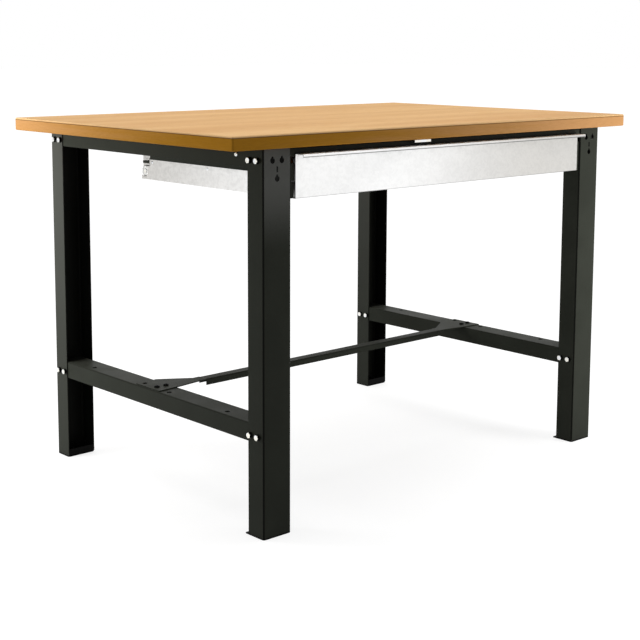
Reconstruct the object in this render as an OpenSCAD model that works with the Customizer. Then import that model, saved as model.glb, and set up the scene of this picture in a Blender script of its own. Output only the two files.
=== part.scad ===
// Work table: wooden board on a bolted sheet-steel frame, with one wide drawer on roller runners.
// Millimetres, +Z up, +X along the length, front (drawer) side towards -Y.
// The origin is the centre of the overall box, on the floor.

/* [Table] */
// Length of the board
table_l = 1300; // [1100:10:2000]
// Depth of the board
table_d = 840; // [760:10:1000]
// Height from the floor to the top of the board
table_h = 850; // [700:5:1000]
// Thickness of the board
board_t = 30; // [26:1:50]
// Radius of the board's upright corners
board_corner_r = 4; // [1:0.5:20]
// Board's overhang past the legs at each end
end_overhang = 90; // [20:5:150]
// Board's overhang past the legs at front and back
front_overhang = 15; // [5:1:24]

/* [Legs] */
// Width of a leg's web
leg_w = 75; // [72:1:100]
// Depth of a leg's flanges
leg_depth = 50; // [48:1:80]
// Sheet thickness of the legs
leg_wall = 2; // [1.5:0.1:3]
// Outer bend radius of the legs
leg_bend_r = 4; // [3.5:0.5:6]
// Diameter of the round part of a keyhole
keyhole_d = 12; // [8:0.5:13]
// Width of the narrow part of a keyhole
keyhole_neck = 5; // [3:0.5:6]
// Reach of the narrow part above the keyhole's centre
keyhole_reach = 9; // [8:0.5:12]
// Distance between the two upper keyholes
keyhole_pitch = 25; // [18:1:30]
// Drop of the two upper keyholes below the leg's top
keyhole_drop = 25; // [18:1:28]
// Drop of the single keyhole below the leg's top
low_keyhole_drop = 62; // [60:1:120]
// Drop of the short slot's centre below the leg's top
slot_drop = 43; // [42:1:46]
// Width of the short slot
slot_w = 4; // [2:0.5:5]
// Length of the short slot
slot_l = 12; // [6:1:16]

/* [Feet] */
// Thickness of a foot's sole
sole_t = 3; // [2:0.5:8]
// Sole's rim outside the leg
sole_rim = 1; // [0.5:0.5:4]
// Radius of a sole's corners
sole_r = 7; // [4:0.5:12]
// Heel of the front soles beyond the leg's flanges
sole_heel = 10; // [2:1:20]
// Height of the plug inside the leg
plug_h = 16; // [8:1:40]
// Wall of the plug
plug_wall = 3; // [2:0.5:5]
// Gap between the plug and the leg
plug_gap = 0.3; // [0.2:0.1:1]

/* [Rails and stretchers] */
// Width of an end rail or stretcher
rail_w = 60; // [50:1:60]
// Height of an end rail or stretcher
rail_h = 40; // [32:1:60]
// Sheet thickness of rails and stretchers
rail_wall = 2; // [1.5:0.1:3]
// Outer bend radius of rails and stretchers
rail_bend_r = 3.5; // [3:0.5:5]
// Gap between a rail's end and the bend inside the leg
rail_end_gap = 0.5; // [0.5:0.5:3]
// Gap between a top rail and the leg's web
top_rail_gap = 1; // [0.5:0.5:2]
// Height of the lower stretchers' bottom edge above the floor
stretcher_z = 204; // [80:2:400]
// Diameter of the holes in the top of rails and stretchers
rail_hole_d = 12; // [8:0.5:14]
// Distance of the hole line from a rail's punched side
hole_line = 18; // [14:1:19]
// Outer holes, distance from the rail's middle
hole_out = 260; // [200:5:290]
// Inner holes, distance from the rail's middle
hole_in = 48; // [44:1:50]
// Depth of the front and back top rails
top_rail_d = 40; // [34:1:44]
// Height of the front and back top rails
top_rail_h = 20; // [18:1:24]

/* [Joint bolts] */
// Shank diameter of the joint bolts
bolt_d = 6; // [5:0.5:8]
// Radial clearance of a bolt in its hole
bolt_clear = 0.3; // [0.2:0.1:0.6]
// Diameter of a bolt's flange
bolt_flange_d = 14; // [12:0.5:16]
// Thickness of a bolt's flange
bolt_flange_t = 1.5; // [1:0.1:2.5]
// Width across flats of a bolt's head
bolt_af = 11; // [8:0.5:11]
// Height of a bolt's head with its flange
bolt_head_h = 7; // [4:0.1:7]
// Height of a nut with its flange
nut_h = 6; // [5:0.5:8]
// First bolt, distance from the leg's web
bolt_inset = 17.5; // [16:0.5:18]
// Distance between the two bolts of a joint
bolt_pitch = 25; // [17:0.5:26]
// Rise of the bolts above a rail's bottom edge
bolt_rise = 15; // [10:0.5:22]

/* [Brace] */
// Width of the brace's strip
brace_w = 30; // [24:1:40]
// Drop of the brace's folded edges
brace_drop = 15; // [10:1:25]
// Sheet thickness of the brace
brace_wall = 2.5; // [2:0.1:4]
// Reach of the flared ends behind the brace's middle
flare_back = 62; // [56:1:90]
// Reach of the flared ends in front of the brace's middle
flare_front = 30; // [22:1:40]
// How much the flare narrows over the stretcher, on its front side
flare_slope = 5; // [0:1:6]
// Length of the flare, from the stretcher's edge
flare_l = 72; // [30:2:110]
// Distance from the stretcher's edge to the folded edges
fold_start = 90; // [20:2:120]
// Inset of the brace's ends from the stretcher's far edge
brace_inset = 3; // [1:0.5:8]
// Shank diameter of the brace's screws
brace_bolt_d = 8; // [6:0.5:8]
// Width across flats of the brace's nuts
brace_nut_af = 13; // [12:0.5:15]
// Diameter of the heads of the brace's screws
brace_head_d = 13; // [12:0.5:14]
// Height of the heads of the brace's screws
brace_head_h = 4; // [3:0.5:6]
// Distance between the two screws at each end of the brace
brace_bolt_pitch = 25; // [20:1:25]

/* [Drawer] */
// Gap between a leg and the drawer's front
front_gap = 12; // [8:0.5:14]
// Gap between a leg and the drawer's side
side_gap = 15; // [14.6:0.1:20]
// Drop from the board's underside to the top of the drawer's front
front_drop = 14; // [8:1:18]
// Height of the drawer's front, with its pull
front_h = 93; // [90:1:140]
// Depth of the folded pull
pull_out = 25; // [18:1:30]
// Height of the pull's turned-down edge
pull_h = 7; // [6:1:14]
// Depth of the drawer front's side and bottom folds
fold_d = 9; // [6:1:10]
// Sheet thickness of the drawer
sheet_t = 1; // [0.8:0.1:1.5]
// Drop from the board's underside to the top of the drawer's sides
side_drop = 35; // [28:1:46]
// Length of the drawer's sides
drawer_l = 547; // [510:1:600]
// Width of the sides' folded bottom and front edges
hem_w = 14; // [8:1:20]
// Width of the folded top edges of the sides and the back
top_hem_w = 7; // [4:1:12]
// Drawer's travel
travel = 400; // [200:10:420]

/* [Runners] */
// Drop from the board's underside to the runner's top
runner_drop = 59; // [54:1:64]
// Height of a runner
runner_h = 47; // [44:1:50]
// Sheet thickness of runner and drawer rail
runner_t = 1.2; // [1:0.1:1.5]
// Rise of the runner's track above its lower edge
track_rise = 5; // [4:0.5:8]
// Width of the runner's track and of its upper guard
track_w = 8.3; // [7:0.1:8.6]
// Sheet thickness of hangers and front brackets
hanger_t = 1.5; // [1:0.1:2]
// Width of a hanger's top flange
hanger_flange = 30; // [22:1:50]
// Diameter of the rollers
roller_d = 25; // [20:0.5:26]
// Width of the rollers
roller_w = 7; // [5:0.1:7.2]
// Diameter of the roller pins
pin_d = 6; // [4:0.5:8]
// Radial clearance of a roller on its pin
pin_clear = 0.05; // [0.03:0.01:0.1]
// Diameter of the roller pins' heads and collars
pin_head_d = 10; // [9:0.5:12]
// Running gap between moving pieces
run_gap = 0.3; // [0.2:0.05:0.5]
// Front roller's distance behind the legs' front
front_roller_y = 23; // [22:0.5:26]
// Rear roller's distance from the drawer's back
rear_roller_y = 23; // [20:1:40]
// Runner's length behind the rear roller's pin
runner_tail = 10; // [6:1:20]
// Height of the drawer rail's web
drawer_rail_h = 13; // [10:0.5:16]
// Front bracket's distance behind the legs' front
bracket_inset = 3.5; // [2.5:0.5:4]
// Length of the front bracket along the leg
bracket_l = 46; // [44:1:60]
// Length of the rubber stops
stop_l = 20; // [10:1:24]
// Height of the rubber stops
stop_h = 6; // [4:0.5:7]
// Diameter of the rivets
rivet_d = 3.2; // [3:0.1:5]
// Diameter of the rivets' heads
rivet_head_d = 7; // [6:0.5:8]
// Height of the rivets' domes on the runner's outer side
rivet_dome_h = 1; // [0.6:0.1:1.4]

/* [Small parts] */
// Diameter of the wood screws
screw_d = 5; // [4:0.5:6]
// Diameter of the wood screws' heads
screw_head_d = 11; // [9:0.5:12]
// Height of the wood screws' heads
screw_head_h = 3; // [2:0.5:4]
// Bite of the wood screws in the board
screw_bite = 20; // [12:1:24]
// Diameter of the washers under the rail screws
washer_d = 20; // [16:0.5:24]
// Thickness of the washers
washer_t = 1.5; // [1:0.1:2]
// Width of the clip under the board's front edge
clip_w = 52; // [30:1:80]
// Clip's place along the table, left of the middle
clip_x = 105; // [0:5:250]
// Drop of the clip below the board
clip_h = 8; // [5:0.5:12]
// Clip's distance in front of the legs
clip_out = 11; // [10:0.5:13]
// Sheet thickness of the clip
clip_t = 1.5; // [1:0.1:2]
// Spacing of the screws along the front and back top rails
top_rail_screw_pitch = 300; // [150:10:400]
// Distance of the end rails' small screws behind the front legs
side_screw_out = 39; // [10:1:90]
// Drop of the end rails' small screws below the board
side_screw_drop = 16; // [10:1:30]
// Diameter of the heads of the end rails' small screws
side_screw_head_d = 9; // [7:0.5:12]
// Height of the heads of the end rails' small screws
side_screw_head_h = 2; // [1:0.5:3]
// Length of the shanks of the end rails' small screws
side_screw_l = 8; // [5:1:16]

/* [Hidden] */
$fn = 48;
EPS = 0.01;

// Frame of the table. The drawer's pull stands in front of the board, so the board sits a little back.
pull_stand = max(0, pull_out - front_overhang);
mid_y = pull_stand / 2;
front_y = mid_y - table_d / 2 + front_overhang;
back_y = mid_y + table_d / 2 - front_overhang;
leg_x = table_l / 2 - end_overhang;
leg_in_x = leg_x - leg_w;
under_z = table_h - board_t;
flange_end_y = front_y + leg_depth;

// End rails and stretchers. Each lies against the flange that it is bolted to.
rail_l = back_y - front_y - 2 * (leg_bend_r + rail_end_gap);
rail_y = front_y + leg_bend_r + rail_end_gap;
rail_x = leg_x - leg_wall - rail_w;
right_stretcher_x = leg_in_x + leg_wall;
stretcher_top = stretcher_z + rail_h;
hole_spots = [-hole_out, -hole_in, hole_in, hole_out];
bolt_spots = [bolt_inset, bolt_inset + bolt_pitch];

// Brace, from the left stretcher to the right one
brace_left = -rail_x - rail_w + brace_inset;
brace_right = right_stretcher_x + rail_w - brace_inset;
left_edge = -rail_x;
right_edge = right_stretcher_x;
brace_top = stretcher_top + brace_wall;
punched_left = -rail_x - rail_w + hole_line;
punched_right = right_stretcher_x + rail_w - hole_line;
brace_bolt_x = [punched_left, punched_left + brace_bolt_pitch,
    punched_right, punched_right - brace_bolt_pitch];

// Clearances of bolts, screws, rivets and loose sheets
hole_gap = 0.05;
pilot_gap = 0.1;
sheet_gap = 0.2;
bolt_tail = 1;
flange_gap = 0.5;
through = 1;

// Clearances and margins of the drawer's running gear
guard_gap = 0.5;
lip_gap = 0.6;
lip_side_gap = 1.5;
bracket_notch_gap = 0.9;
roller_notch_gap = 1.2;
hanger_gap = 0.2;
stop_gap = 2;
head_gap = 0.2;
collar_l = 2;
head_t = 0.7;
lug_l = 3;
tab_l = 36;
tab_drop = 11;
bracket_drop = 13;
hanger_start = 5;
tongue_root = 8;
track_start = 2.5;
stop_inset = 3;
rail_start = 1;
rail_inset = 4;
end_margin = 20;

// Across the drawer, given for the left side, where a larger x is nearer the table's middle
face_x = -leg_in_x;
runner_x = face_x + hanger_t;
hanger_x = runner_x + runner_t;
side_x = face_x + side_gap;
drawer_rail_x = side_x - runner_t;
roller_x = hanger_x + collar_l;
roller_end_x = roller_x + roller_w;
lip_x = hanger_x + hanger_t + lip_side_gap;
front_x = face_x + front_gap;
inner_w = 2 * (-side_x - sheet_t - sheet_gap);
stop_w = drawer_rail_x - hanger_x - hanger_t - 2 * lip_side_gap;

// Heights of the drawer and its running gear
pull_z = under_z - front_drop;
front_z = pull_z - front_h;
side_top_z = under_z - side_drop;
side_z = front_z + sheet_t;
runner_top_z = under_z - runner_drop;
runner_z = runner_top_z - runner_h;
track_z = runner_z + track_rise + runner_t;
rear_roller_z = track_z + roller_d / 2 + run_gap;
guard_z = rear_roller_z + roller_d / 2 + guard_gap;
lip_z = guard_z + runner_t + lip_gap;
front_roller_z = lip_z - run_gap - roller_d / 2;
hanger_z = lip_z + hanger_gap;
stop_z = lip_z + runner_t + stop_gap;
bracket_top_z = pull_z - pull_h - bracket_drop;

// Depths of the drawer and its running gear
drawer_y = front_y + sheet_t;
drawer_end_y = drawer_y + drawer_l;
drawer_rail_y = front_y + fold_d + rail_start;
drawer_rail_end_y = drawer_end_y - rail_inset;
bracket_y = front_y + bracket_inset;
bracket_end_y = bracket_y + bracket_l;
runner_y = bracket_y + hanger_t;
front_pin_y = front_y + front_roller_y;
rear_pin_y = drawer_end_y - rear_roller_y;
runner_end_y = rear_pin_y + runner_tail;
track_y = front_pin_y + roller_d / 2 + track_start;
notch_r = roller_d / 2 + roller_notch_gap;
web_end_y = rear_pin_y - notch_r - tongue_root;
hanger_y = max(flange_end_y, bracket_end_y) + hanger_start;
stop_end_y = runner_end_y - stop_inset;
stop_y = stop_end_y - stop_l;
ear_y = stop_y - run_gap;
lug_y = ear_y - runner_t - travel - run_gap - lug_l;

// Values spread evenly from the first to the last
function spread(first, last, count) =
    [for (i = [0 : count - 1]) first + (last - first) * i / (count - 1)];

// Rivets: the hanger's and the drawer rail's are spread evenly between their ends
rivet_z = (hanger_z + runner_top_z) / 2;
rivet_y = spread(hanger_y + end_margin, web_end_y - end_margin / 2, 3);
bracket_rivet_y = bracket_end_y - rivet_head_d + 1;
bracket_rivet_z = [rivet_z, front_roller_z - stop_gap];
drawer_rivet_z = lip_z + runner_t + (drawer_rail_h - runner_t) / 2;
drawer_rivet_y = spread(drawer_rail_y + end_margin, ear_y - runner_t - end_margin, 4);

// Screws of the board: along the end rails' hole lines, the top rails and the hangers
hanger_screw_y = spread(hanger_y + 1.5 * end_margin, web_end_y - end_margin, 3);
hanger_screw_x = hanger_x + (hanger_t + hanger_flange) / 2;
clip_y = front_y - clip_out;
top_rail_y = leg_wall + top_rail_gap;
top_rail_screw_x = [-top_rail_screw_pitch, 0, top_rail_screw_pitch];
clip_screw_y = (clip_y + clip_t + front_y + top_rail_y) / 2;
rail_screw_x = rail_x + hole_line;
bolt_edge = rail_wall + bolt_flange_d / 2 + flange_gap;
top_rail_bolt_y = [top_rail_y + bolt_edge, top_rail_y + top_rail_d - bolt_edge];

// Screws of the front brackets
bracket_screw_y = flange_end_y - end_margin;
bracket_screw_z = [runner_z + screw_head_d, bracket_top_z - screw_head_d];

steel_black = "#2d2f2b";
zinc = "#c9ccce";
galvanised = "#dcdddb";
beech = "#d9b07c";
black_rubber = "#1b1b1b";
nylon = "#f0f0ec";

// Plain shapes

// Rectangle from the origin with round corners
module rounded_rect(w, h, r) {
    translate([r, 0]) square([w - 2 * r, h]);
    translate([0, r]) square([w, h - 2 * r]);
    for (x = [r, w - r], y = [r, h - r])
        translate([x, y]) circle(r);
}

// Folded C-section: web along the bottom, flanges up, open at the top
module channel_profile(w, d, t, r) {
    difference() {
        intersection() {
            rounded_rect(w, d + 2 * r, r);
            square([w, d]);
        }
        translate([t, t]) rounded_rect(w - 2 * t, d + 2 * r, r - t);
    }
}

// Inverted U-section along +Y, its top at z = 0
module u_beam(l, w, h, t, r) {
    translate([0, l, 0]) rotate([90, 0, 0]) linear_extrude(l)
        mirror([0, 1]) channel_profile(w, h, t, r);
}

// Folded sheet along +X: an outline of straight runs in Y and Z, with round bends
module folded_sheet(l, points, t) {
    rotate([90, 0, 90]) linear_extrude(l)
        for (i = [0 : len(points) - 1]) {
            translate(points[i]) circle(t / 2);
            if (i > 0) {
                run = points[i] - points[i - 1];
                translate(points[i - 1]) rotate(atan2(run[1], run[0]))
                    translate([0, -t / 2]) square([norm(run), t]);
            }
        }
}

// Bolt with a round flange and a six-sided head: its head points to +Z, its flange sits on z = 0
module flange_bolt(d, reach) {
    cylinder(d = bolt_flange_d, h = bolt_flange_t);
    cylinder(d = bolt_af / cos(30), h = bolt_head_h, $fn = 6);
    translate([0, 0, -reach]) cylinder(d = d, h = reach + EPS);
}

// Nut with a round flange: its flange sits on z = 0, its body points to +Z
module flange_nut(d) {
    difference() {
        union() {
            cylinder(d = bolt_flange_d, h = bolt_flange_t);
            cylinder(d = bolt_af / cos(30), h = nut_h, $fn = 6);
        }
        translate([0, 0, -through]) cylinder(r = d / 2 + hole_gap, h = nut_h + 2 * through);
    }
}

// Wood screw: its head's seat is z = 0, its head points down and its shank up
module wood_screw(bite) {
    rim_h = screw_head_h / 2;
    translate([0, 0, -screw_head_h]) cylinder(d1 = screw_head_d - rim_h, d2 = screw_head_d, h = rim_h);
    translate([0, 0, -rim_h]) cylinder(d = screw_head_d, h = rim_h);
    cylinder(d = screw_d, h = bite);
}

// Keyhole cut through a sheet, seen from the front: round part at z = 0, narrow part above
module keyhole(depth) {
    rotate([90, 0, 0]) {
        cylinder(d = keyhole_d, h = depth, center = true);
        translate([0, keyhole_reach - keyhole_neck / 2, 0])
            cylinder(d = keyhole_neck, h = depth, center = true);
        translate([-keyhole_neck / 2, 0, -depth / 2])
            cube([keyhole_neck, keyhole_reach - keyhole_neck / 2, depth]);
    }
}

// Repeats what is drawn for the left side on the side s: -1 left, 1 right
module on_side(s) {
    mirror([s > 0 ? 1 : 0, 0, 0]) children();
}

// Puts what is drawn for the front, at y = 0, on the front or the back of the table
module at_end(back) {
    if (back)
        translate([0, back_y, 0]) mirror([0, 1, 0]) children();
    else
        translate([0, front_y, 0]) children();
}

// Board

module board_screw_spots() {
    for (s = [-1, 1], y = hole_spots)
        translate([s * rail_screw_x, mid_y + y, under_z - rail_wall - washer_t]) children();
    for (back = [false, true], x = top_rail_screw_x)
        at_end(back) translate([x, top_rail_y + top_rail_d / 2, under_z - rail_wall]) children();
    for (s = [-1, 1], y = hanger_screw_y)
        on_side(s) translate([hanger_screw_x, y, under_z - hanger_t]) children();
    translate([-clip_x, clip_screw_y, under_z - clip_t]) children();
}

module top_board() {
    color(beech) difference() {
        translate([-table_l / 2, mid_y - table_d / 2, under_z])
            linear_extrude(board_t) rounded_rect(table_l, table_d, board_corner_r);
        board_screw_spots() cylinder(r = screw_d / 2 + pilot_gap, h = screw_bite + through);
    }
}

module board_screws() {
    color(zinc) board_screw_spots() wood_screw(screw_bite);
}

module board_washers() {
    color(zinc) for (s = [-1, 1], y = hole_spots)
        translate([s * rail_screw_x, mid_y + y, under_z - rail_wall - washer_t]) difference() {
            cylinder(d = washer_d, h = washer_t);
            translate([0, 0, -through])
                cylinder(r = screw_d / 2 + sheet_gap, h = washer_t + 2 * through);
        }
}

// Legs and feet

// Joint bolts of one corner, drawn for the front: along x, on the face at x = 0 with heads to -X
module joint_spots(z) {
    for (y = bolt_spots)
        translate([0, y, z + bolt_rise]) rotate([0, -90, 0]) children();
}

// Every joint of the frame: upper rails on the outer flanges, lower ones on the left-hand flanges
module frame_joints() {
    for (back = [false, true]) at_end(back) {
        for (s = [-1, 1])
            on_side(s) translate([-leg_x, 0, 0]) joint_spots(under_z - rail_h) children();
        for (x = [-leg_x, leg_in_x])
            translate([x, 0, 0]) joint_spots(stretcher_z) children();
    }
}

// Bolts that hold the front and back top rails to the legs' inner flanges, heads inside the leg
module top_rail_joints() {
    for (s = [-1, 1], back = [false, true], y = top_rail_bolt_y)
        on_side(s) at_end(back)
            translate([face_x - leg_wall, y, under_z - top_rail_h / 2]) rotate([0, -90, 0]) children();
}

// Screws that hold the front brackets to the front legs' inner flanges, drawn for the left side
module bracket_screw_spots() {
    for (z = bracket_screw_z)
        translate([face_x - leg_wall, bracket_screw_y, z]) rotate([0, -90, 0]) children();
}

// Clearance hole for a joint bolt, through every wall at its place
module joint_hole() {
    cylinder(r = bolt_d / 2 + bolt_clear, h = 2 * (leg_wall + rail_wall + through), center = true);
}

module leg(s, back) {
    color(steel_black) difference() {
        on_side(s) at_end(back) {
            translate([-leg_x, 0, sole_t]) linear_extrude(under_z - sole_t)
                channel_profile(leg_w, leg_depth, leg_wall, leg_bend_r);
        }
        if (!back) on_side(s) at_end(false) translate([-leg_x + leg_w / 2, leg_wall / 2, under_z]) {
            for (x = [-keyhole_pitch / 2, keyhole_pitch / 2])
                translate([x, 0, -keyhole_drop]) keyhole(3 * leg_wall);
            translate([0, 0, -low_keyhole_drop]) keyhole(3 * leg_wall);
            translate([0, 0, -slot_drop]) cube([slot_w, 3 * leg_wall, slot_l], center = true);
        }
        frame_joints() joint_hole();
        top_rail_joints() joint_hole();
        if (!back)
            on_side(s) bracket_screw_spots()
                cylinder(r = screw_d / 2 + bolt_clear, h = 4 * leg_wall, center = true);
    }
}

module foot(s, back) {
    plug_w = leg_w - 2 * leg_wall - 2 * plug_gap;
    plug_d = leg_depth - leg_wall - 2 * plug_gap;
    heel = back ? sole_rim : sole_heel;
    color(black_rubber) on_side(s) at_end(back) {
        translate([-leg_x - sole_rim, -sole_rim, 0]) linear_extrude(sole_t)
            rounded_rect(leg_w + 2 * sole_rim, leg_depth + sole_rim + heel, sole_r);
        translate([-leg_x + leg_wall + plug_gap, leg_wall + plug_gap, sole_t - EPS])
            linear_extrude(plug_h) difference() {
                rounded_rect(plug_w, plug_d, leg_bend_r - leg_wall + plug_gap);
                translate([plug_wall, plug_wall]) square([plug_w - 2 * plug_wall, plug_d - 2 * plug_wall]);
            }
    }
}

module joint_bolts() {
    color(zinc) frame_joints() flange_bolt(bolt_d, leg_wall + rail_wall + nut_h + bolt_tail);
}

module joint_nuts() {
    color(zinc) frame_joints()
        translate([0, 0, -leg_wall - rail_wall]) mirror([0, 0, 1]) flange_nut(bolt_d);
}

// End rails and stretchers

// Rail with its punched side at x = 0 and its top at z = 0
module end_beam() {
    difference() {
        translate([0, rail_y, 0]) u_beam(rail_l, rail_w, rail_h, rail_wall, rail_bend_r);
        for (y = hole_spots)
            translate([hole_line, mid_y + y, -rail_wall - through])
                cylinder(d = rail_hole_d, h = rail_wall + 2 * through);
    }
}

module end_rail(s) {
    color(steel_black) difference() {
        on_side(s) translate([-rail_x, 0, under_z]) mirror([1, 0, 0]) end_beam();
        frame_joints() joint_hole();
        on_side(s) rail_side_spot()
            cylinder(r = screw_d / 2 + pilot_gap, h = 4 * rail_wall, center = true);
    }
}

module brace_bolt_holes() {
    for (x = brace_bolt_x)
        translate([x, mid_y, stretcher_top - rail_wall - through])
            cylinder(r = brace_bolt_d / 2 + bolt_clear, h = rail_wall + brace_wall + 2 * through);
}

module stretcher(s) {
    color(steel_black) difference() {
        translate([s < 0 ? -rail_x - rail_w : right_stretcher_x + rail_w, 0, stretcher_top])
            mirror([s < 0 ? 0 : 1, 0, 0]) end_beam();
        frame_joints() joint_hole();
        brace_bolt_holes();
    }
}

// Small screw in the outer side of each end rail, near the front
module rail_side_spot() {
    translate([-leg_x + leg_wall, flange_end_y + side_screw_out, under_z - side_screw_drop])
        rotate([0, -90, 0]) children();
}

module rail_side_screws() {
    color(zinc) for (s = [-1, 1]) on_side(s) rail_side_spot() {
        cylinder(d = side_screw_head_d, h = side_screw_head_h);
        translate([0, 0, -side_screw_l]) cylinder(d = screw_d, h = side_screw_l + EPS);
    }
}

// Brace

module brace() {
    neck = flare_slope - flare_front;
    outline = [
        [brace_left, -flare_front], [left_edge, neck], [left_edge + flare_l, -brace_w / 2],
        [right_edge - flare_l, -brace_w / 2], [right_edge, neck], [brace_right, -flare_front],
        [brace_right, flare_back], [right_edge, flare_back], [right_edge - flare_l, brace_w / 2],
        [left_edge + flare_l, brace_w / 2], [left_edge, flare_back], [brace_left, flare_back]];
    fold_l = right_edge - left_edge - 2 * fold_start;
    color(steel_black) translate([0, mid_y, 0]) {
        difference() {
            translate([0, 0, stretcher_top]) linear_extrude(brace_wall) polygon(outline);
            for (x = [punched_left, punched_right])
                translate([x, hole_in, stretcher_top - through])
                    cylinder(d = rail_hole_d, h = brace_wall + 2 * through);
            translate([0, -mid_y, 0]) brace_bolt_holes();
        }
        for (y = [-brace_w / 2, brace_w / 2 - brace_wall])
            translate([left_edge + fold_start, y, brace_top - brace_drop])
                cube([fold_l, brace_wall, brace_drop - brace_wall + EPS]);
    }
}

// Low domed heads, a straight rim under a cone
module brace_screws() {
    shank_l = brace_wall + rail_wall + nut_h + bolt_tail;
    color(black_rubber) for (x = brace_bolt_x) translate([x, mid_y, brace_top]) {
        cylinder(d = brace_head_d, h = brace_head_h / 2);
        translate([0, 0, brace_head_h / 2])
            cylinder(d1 = brace_head_d, d2 = brace_bolt_d, h = brace_head_h / 2);
        translate([0, 0, -shank_l]) cylinder(d = brace_bolt_d, h = shank_l + EPS);
    }
}

module brace_nuts() {
    color(zinc) for (x = brace_bolt_x)
        translate([x, mid_y, stretcher_top - rail_wall]) mirror([0, 0, 1]) difference() {
            cylinder(d = brace_nut_af / cos(30), h = nut_h, $fn = 6);
            translate([0, 0, -through])
                cylinder(r = brace_bolt_d / 2 + hole_gap, h = nut_h + 2 * through);
        }
}

// Front and back top rails

module top_rail(back) {
    rail_l_x = 2 * leg_in_x;
    color(steel_black) difference() {
        at_end(back) translate([-leg_in_x, top_rail_y, under_z]) {
            translate([0, top_rail_d, 0]) rotate([0, 0, -90])
                u_beam(rail_l_x, top_rail_d, top_rail_h, rail_wall, rail_bend_r);
            for (x = [0, rail_l_x - rail_wall])
                translate([x, rail_wall, -top_rail_h])
                    cube([rail_wall, top_rail_d - 2 * rail_wall, top_rail_h - rail_wall]);
        }
        top_rail_joints() joint_hole();
        board_screw_spots() cylinder(r = screw_d / 2 + 3 * bolt_clear, h = 4 * rail_wall, center = true);
    }
}

module top_rail_bolts() {
    color(black_rubber) top_rail_joints() flange_bolt(bolt_d, leg_wall + rail_wall + nut_h + bolt_tail);
}

module top_rail_nuts() {
    color(black_rubber) top_rail_joints()
        translate([0, 0, -leg_wall - rail_wall]) mirror([0, 0, 1]) flange_nut(bolt_d);
}

// Hangers, brackets and runners, drawn for the left side

// Rivets through the hanger and the runner's top edge
module rivet_spots() {
    for (y = rivet_y)
        translate([runner_x, y, rivet_z]) rotate([0, 90, 0]) children();
}

// Flush rivets through the front bracket and the runner
module bracket_rivet_spots() {
    for (z = bracket_rivet_z)
        translate([face_x, bracket_rivet_y, z]) rotate([0, 90, 0]) children();
}

// Hole for a rivet, through every sheet at its place
module rivet_hole() {
    cylinder(r = rivet_d / 2 + hole_gap, h = 6 * hanger_t, center = true);
}

module hanger(s) {
    color(steel_black) on_side(s) difference() {
        union() {
            translate([hanger_x, hanger_y, under_z - hanger_t])
                cube([hanger_flange, web_end_y - hanger_y, hanger_t]);
            translate([hanger_x, hanger_y, hanger_z])
                cube([hanger_t, web_end_y - hanger_y, under_z - hanger_z - hanger_t / 2]);
            translate([hanger_x, web_end_y - EPS, stop_z])
                cube([hanger_t, stop_end_y - web_end_y, stop_h]);
            translate([hanger_x + hanger_t - EPS, lug_y, stop_z]) cube([stop_w, lug_l, stop_h]);
        }
        rivet_spots() rivet_hole();
        for (y = hanger_screw_y)
            translate([hanger_screw_x, y, under_z])
                cylinder(r = screw_d / 2 + 3 * bolt_clear, h = 4 * hanger_t, center = true);
    }
}

module front_bracket(s) {
    color(steel_black) on_side(s) difference() {
        union() {
            translate([face_x, bracket_y, runner_z])
                cube([hanger_t, bracket_l, bracket_top_z - runner_z]);
            translate([face_x, bracket_y, runner_z])
                cube([front_gap - lip_side_gap, hanger_t, bracket_top_z - runner_z]);
        }
        translate([lip_x - bracket_notch_gap, bracket_y - through, lip_z - bracket_notch_gap])
            cube([front_gap, hanger_t + 2 * through, runner_t + 2 * bracket_notch_gap]);
        bracket_rivet_spots() rivet_hole();
        bracket_screw_spots()
            cylinder(r = screw_d / 2 + hole_gap, h = 4 * (leg_wall + hanger_t), center = true);
    }
}

module bracket_screws() {
    reach = leg_wall + hanger_t;
    color(black_rubber) for (s = [-1, 1]) on_side(s) bracket_screw_spots() {
        cylinder(d = screw_head_d, h = screw_head_h);
        translate([0, 0, -reach]) cylinder(d = screw_d, h = reach + EPS);
    }
}

// Runner: one folded sheet of a web, a track and a guard. Each is a node of its own, face to face
// with the next, so that every one stays a plain plate and the roller's channel stays open.
// Web, cut away round the rear roller
module runner(s) {
    tail_l = runner_end_y - rear_pin_y + notch_r;
    cut_t = runner_t + through;
    color(galvanised) on_side(s) difference() {
        translate([runner_x, runner_y, runner_z])
            cube([runner_t, runner_end_y - runner_y, runner_h]);
        translate([runner_x - through, rear_pin_y, rear_roller_z]) {
            rotate([0, 90, 0]) cylinder(r = notch_r, h = cut_t);
            translate([0, 0, -notch_r / 2]) cube([cut_t, tail_l, runner_h]);
            translate([0, -notch_r * cos(45), notch_r / 2]) cube([cut_t, tail_l, runner_h]);
        }
        translate([runner_x - through, web_end_y, guard_z - through])
            cube([cut_t, 2 * tail_l, runner_h]);
        translate([runner_x, front_pin_y, front_roller_z]) rotate([0, 90, 0])
            cylinder(r = pin_d / 2 + hole_gap, h = 4 * runner_t, center = true);
        rivet_spots() rivet_hole();
        bracket_rivet_spots() rivet_hole();
    }
}

module runner_track(s) {
    color(galvanised) on_side(s) translate([hanger_x, track_y, track_z - runner_t])
        cube([track_w, runner_end_y - track_y, runner_t]);
}

module runner_guard(s) {
    color(galvanised) on_side(s) translate([hanger_x, track_y, guard_z])
        cube([track_w, web_end_y - track_y, runner_t]);
}

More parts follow.
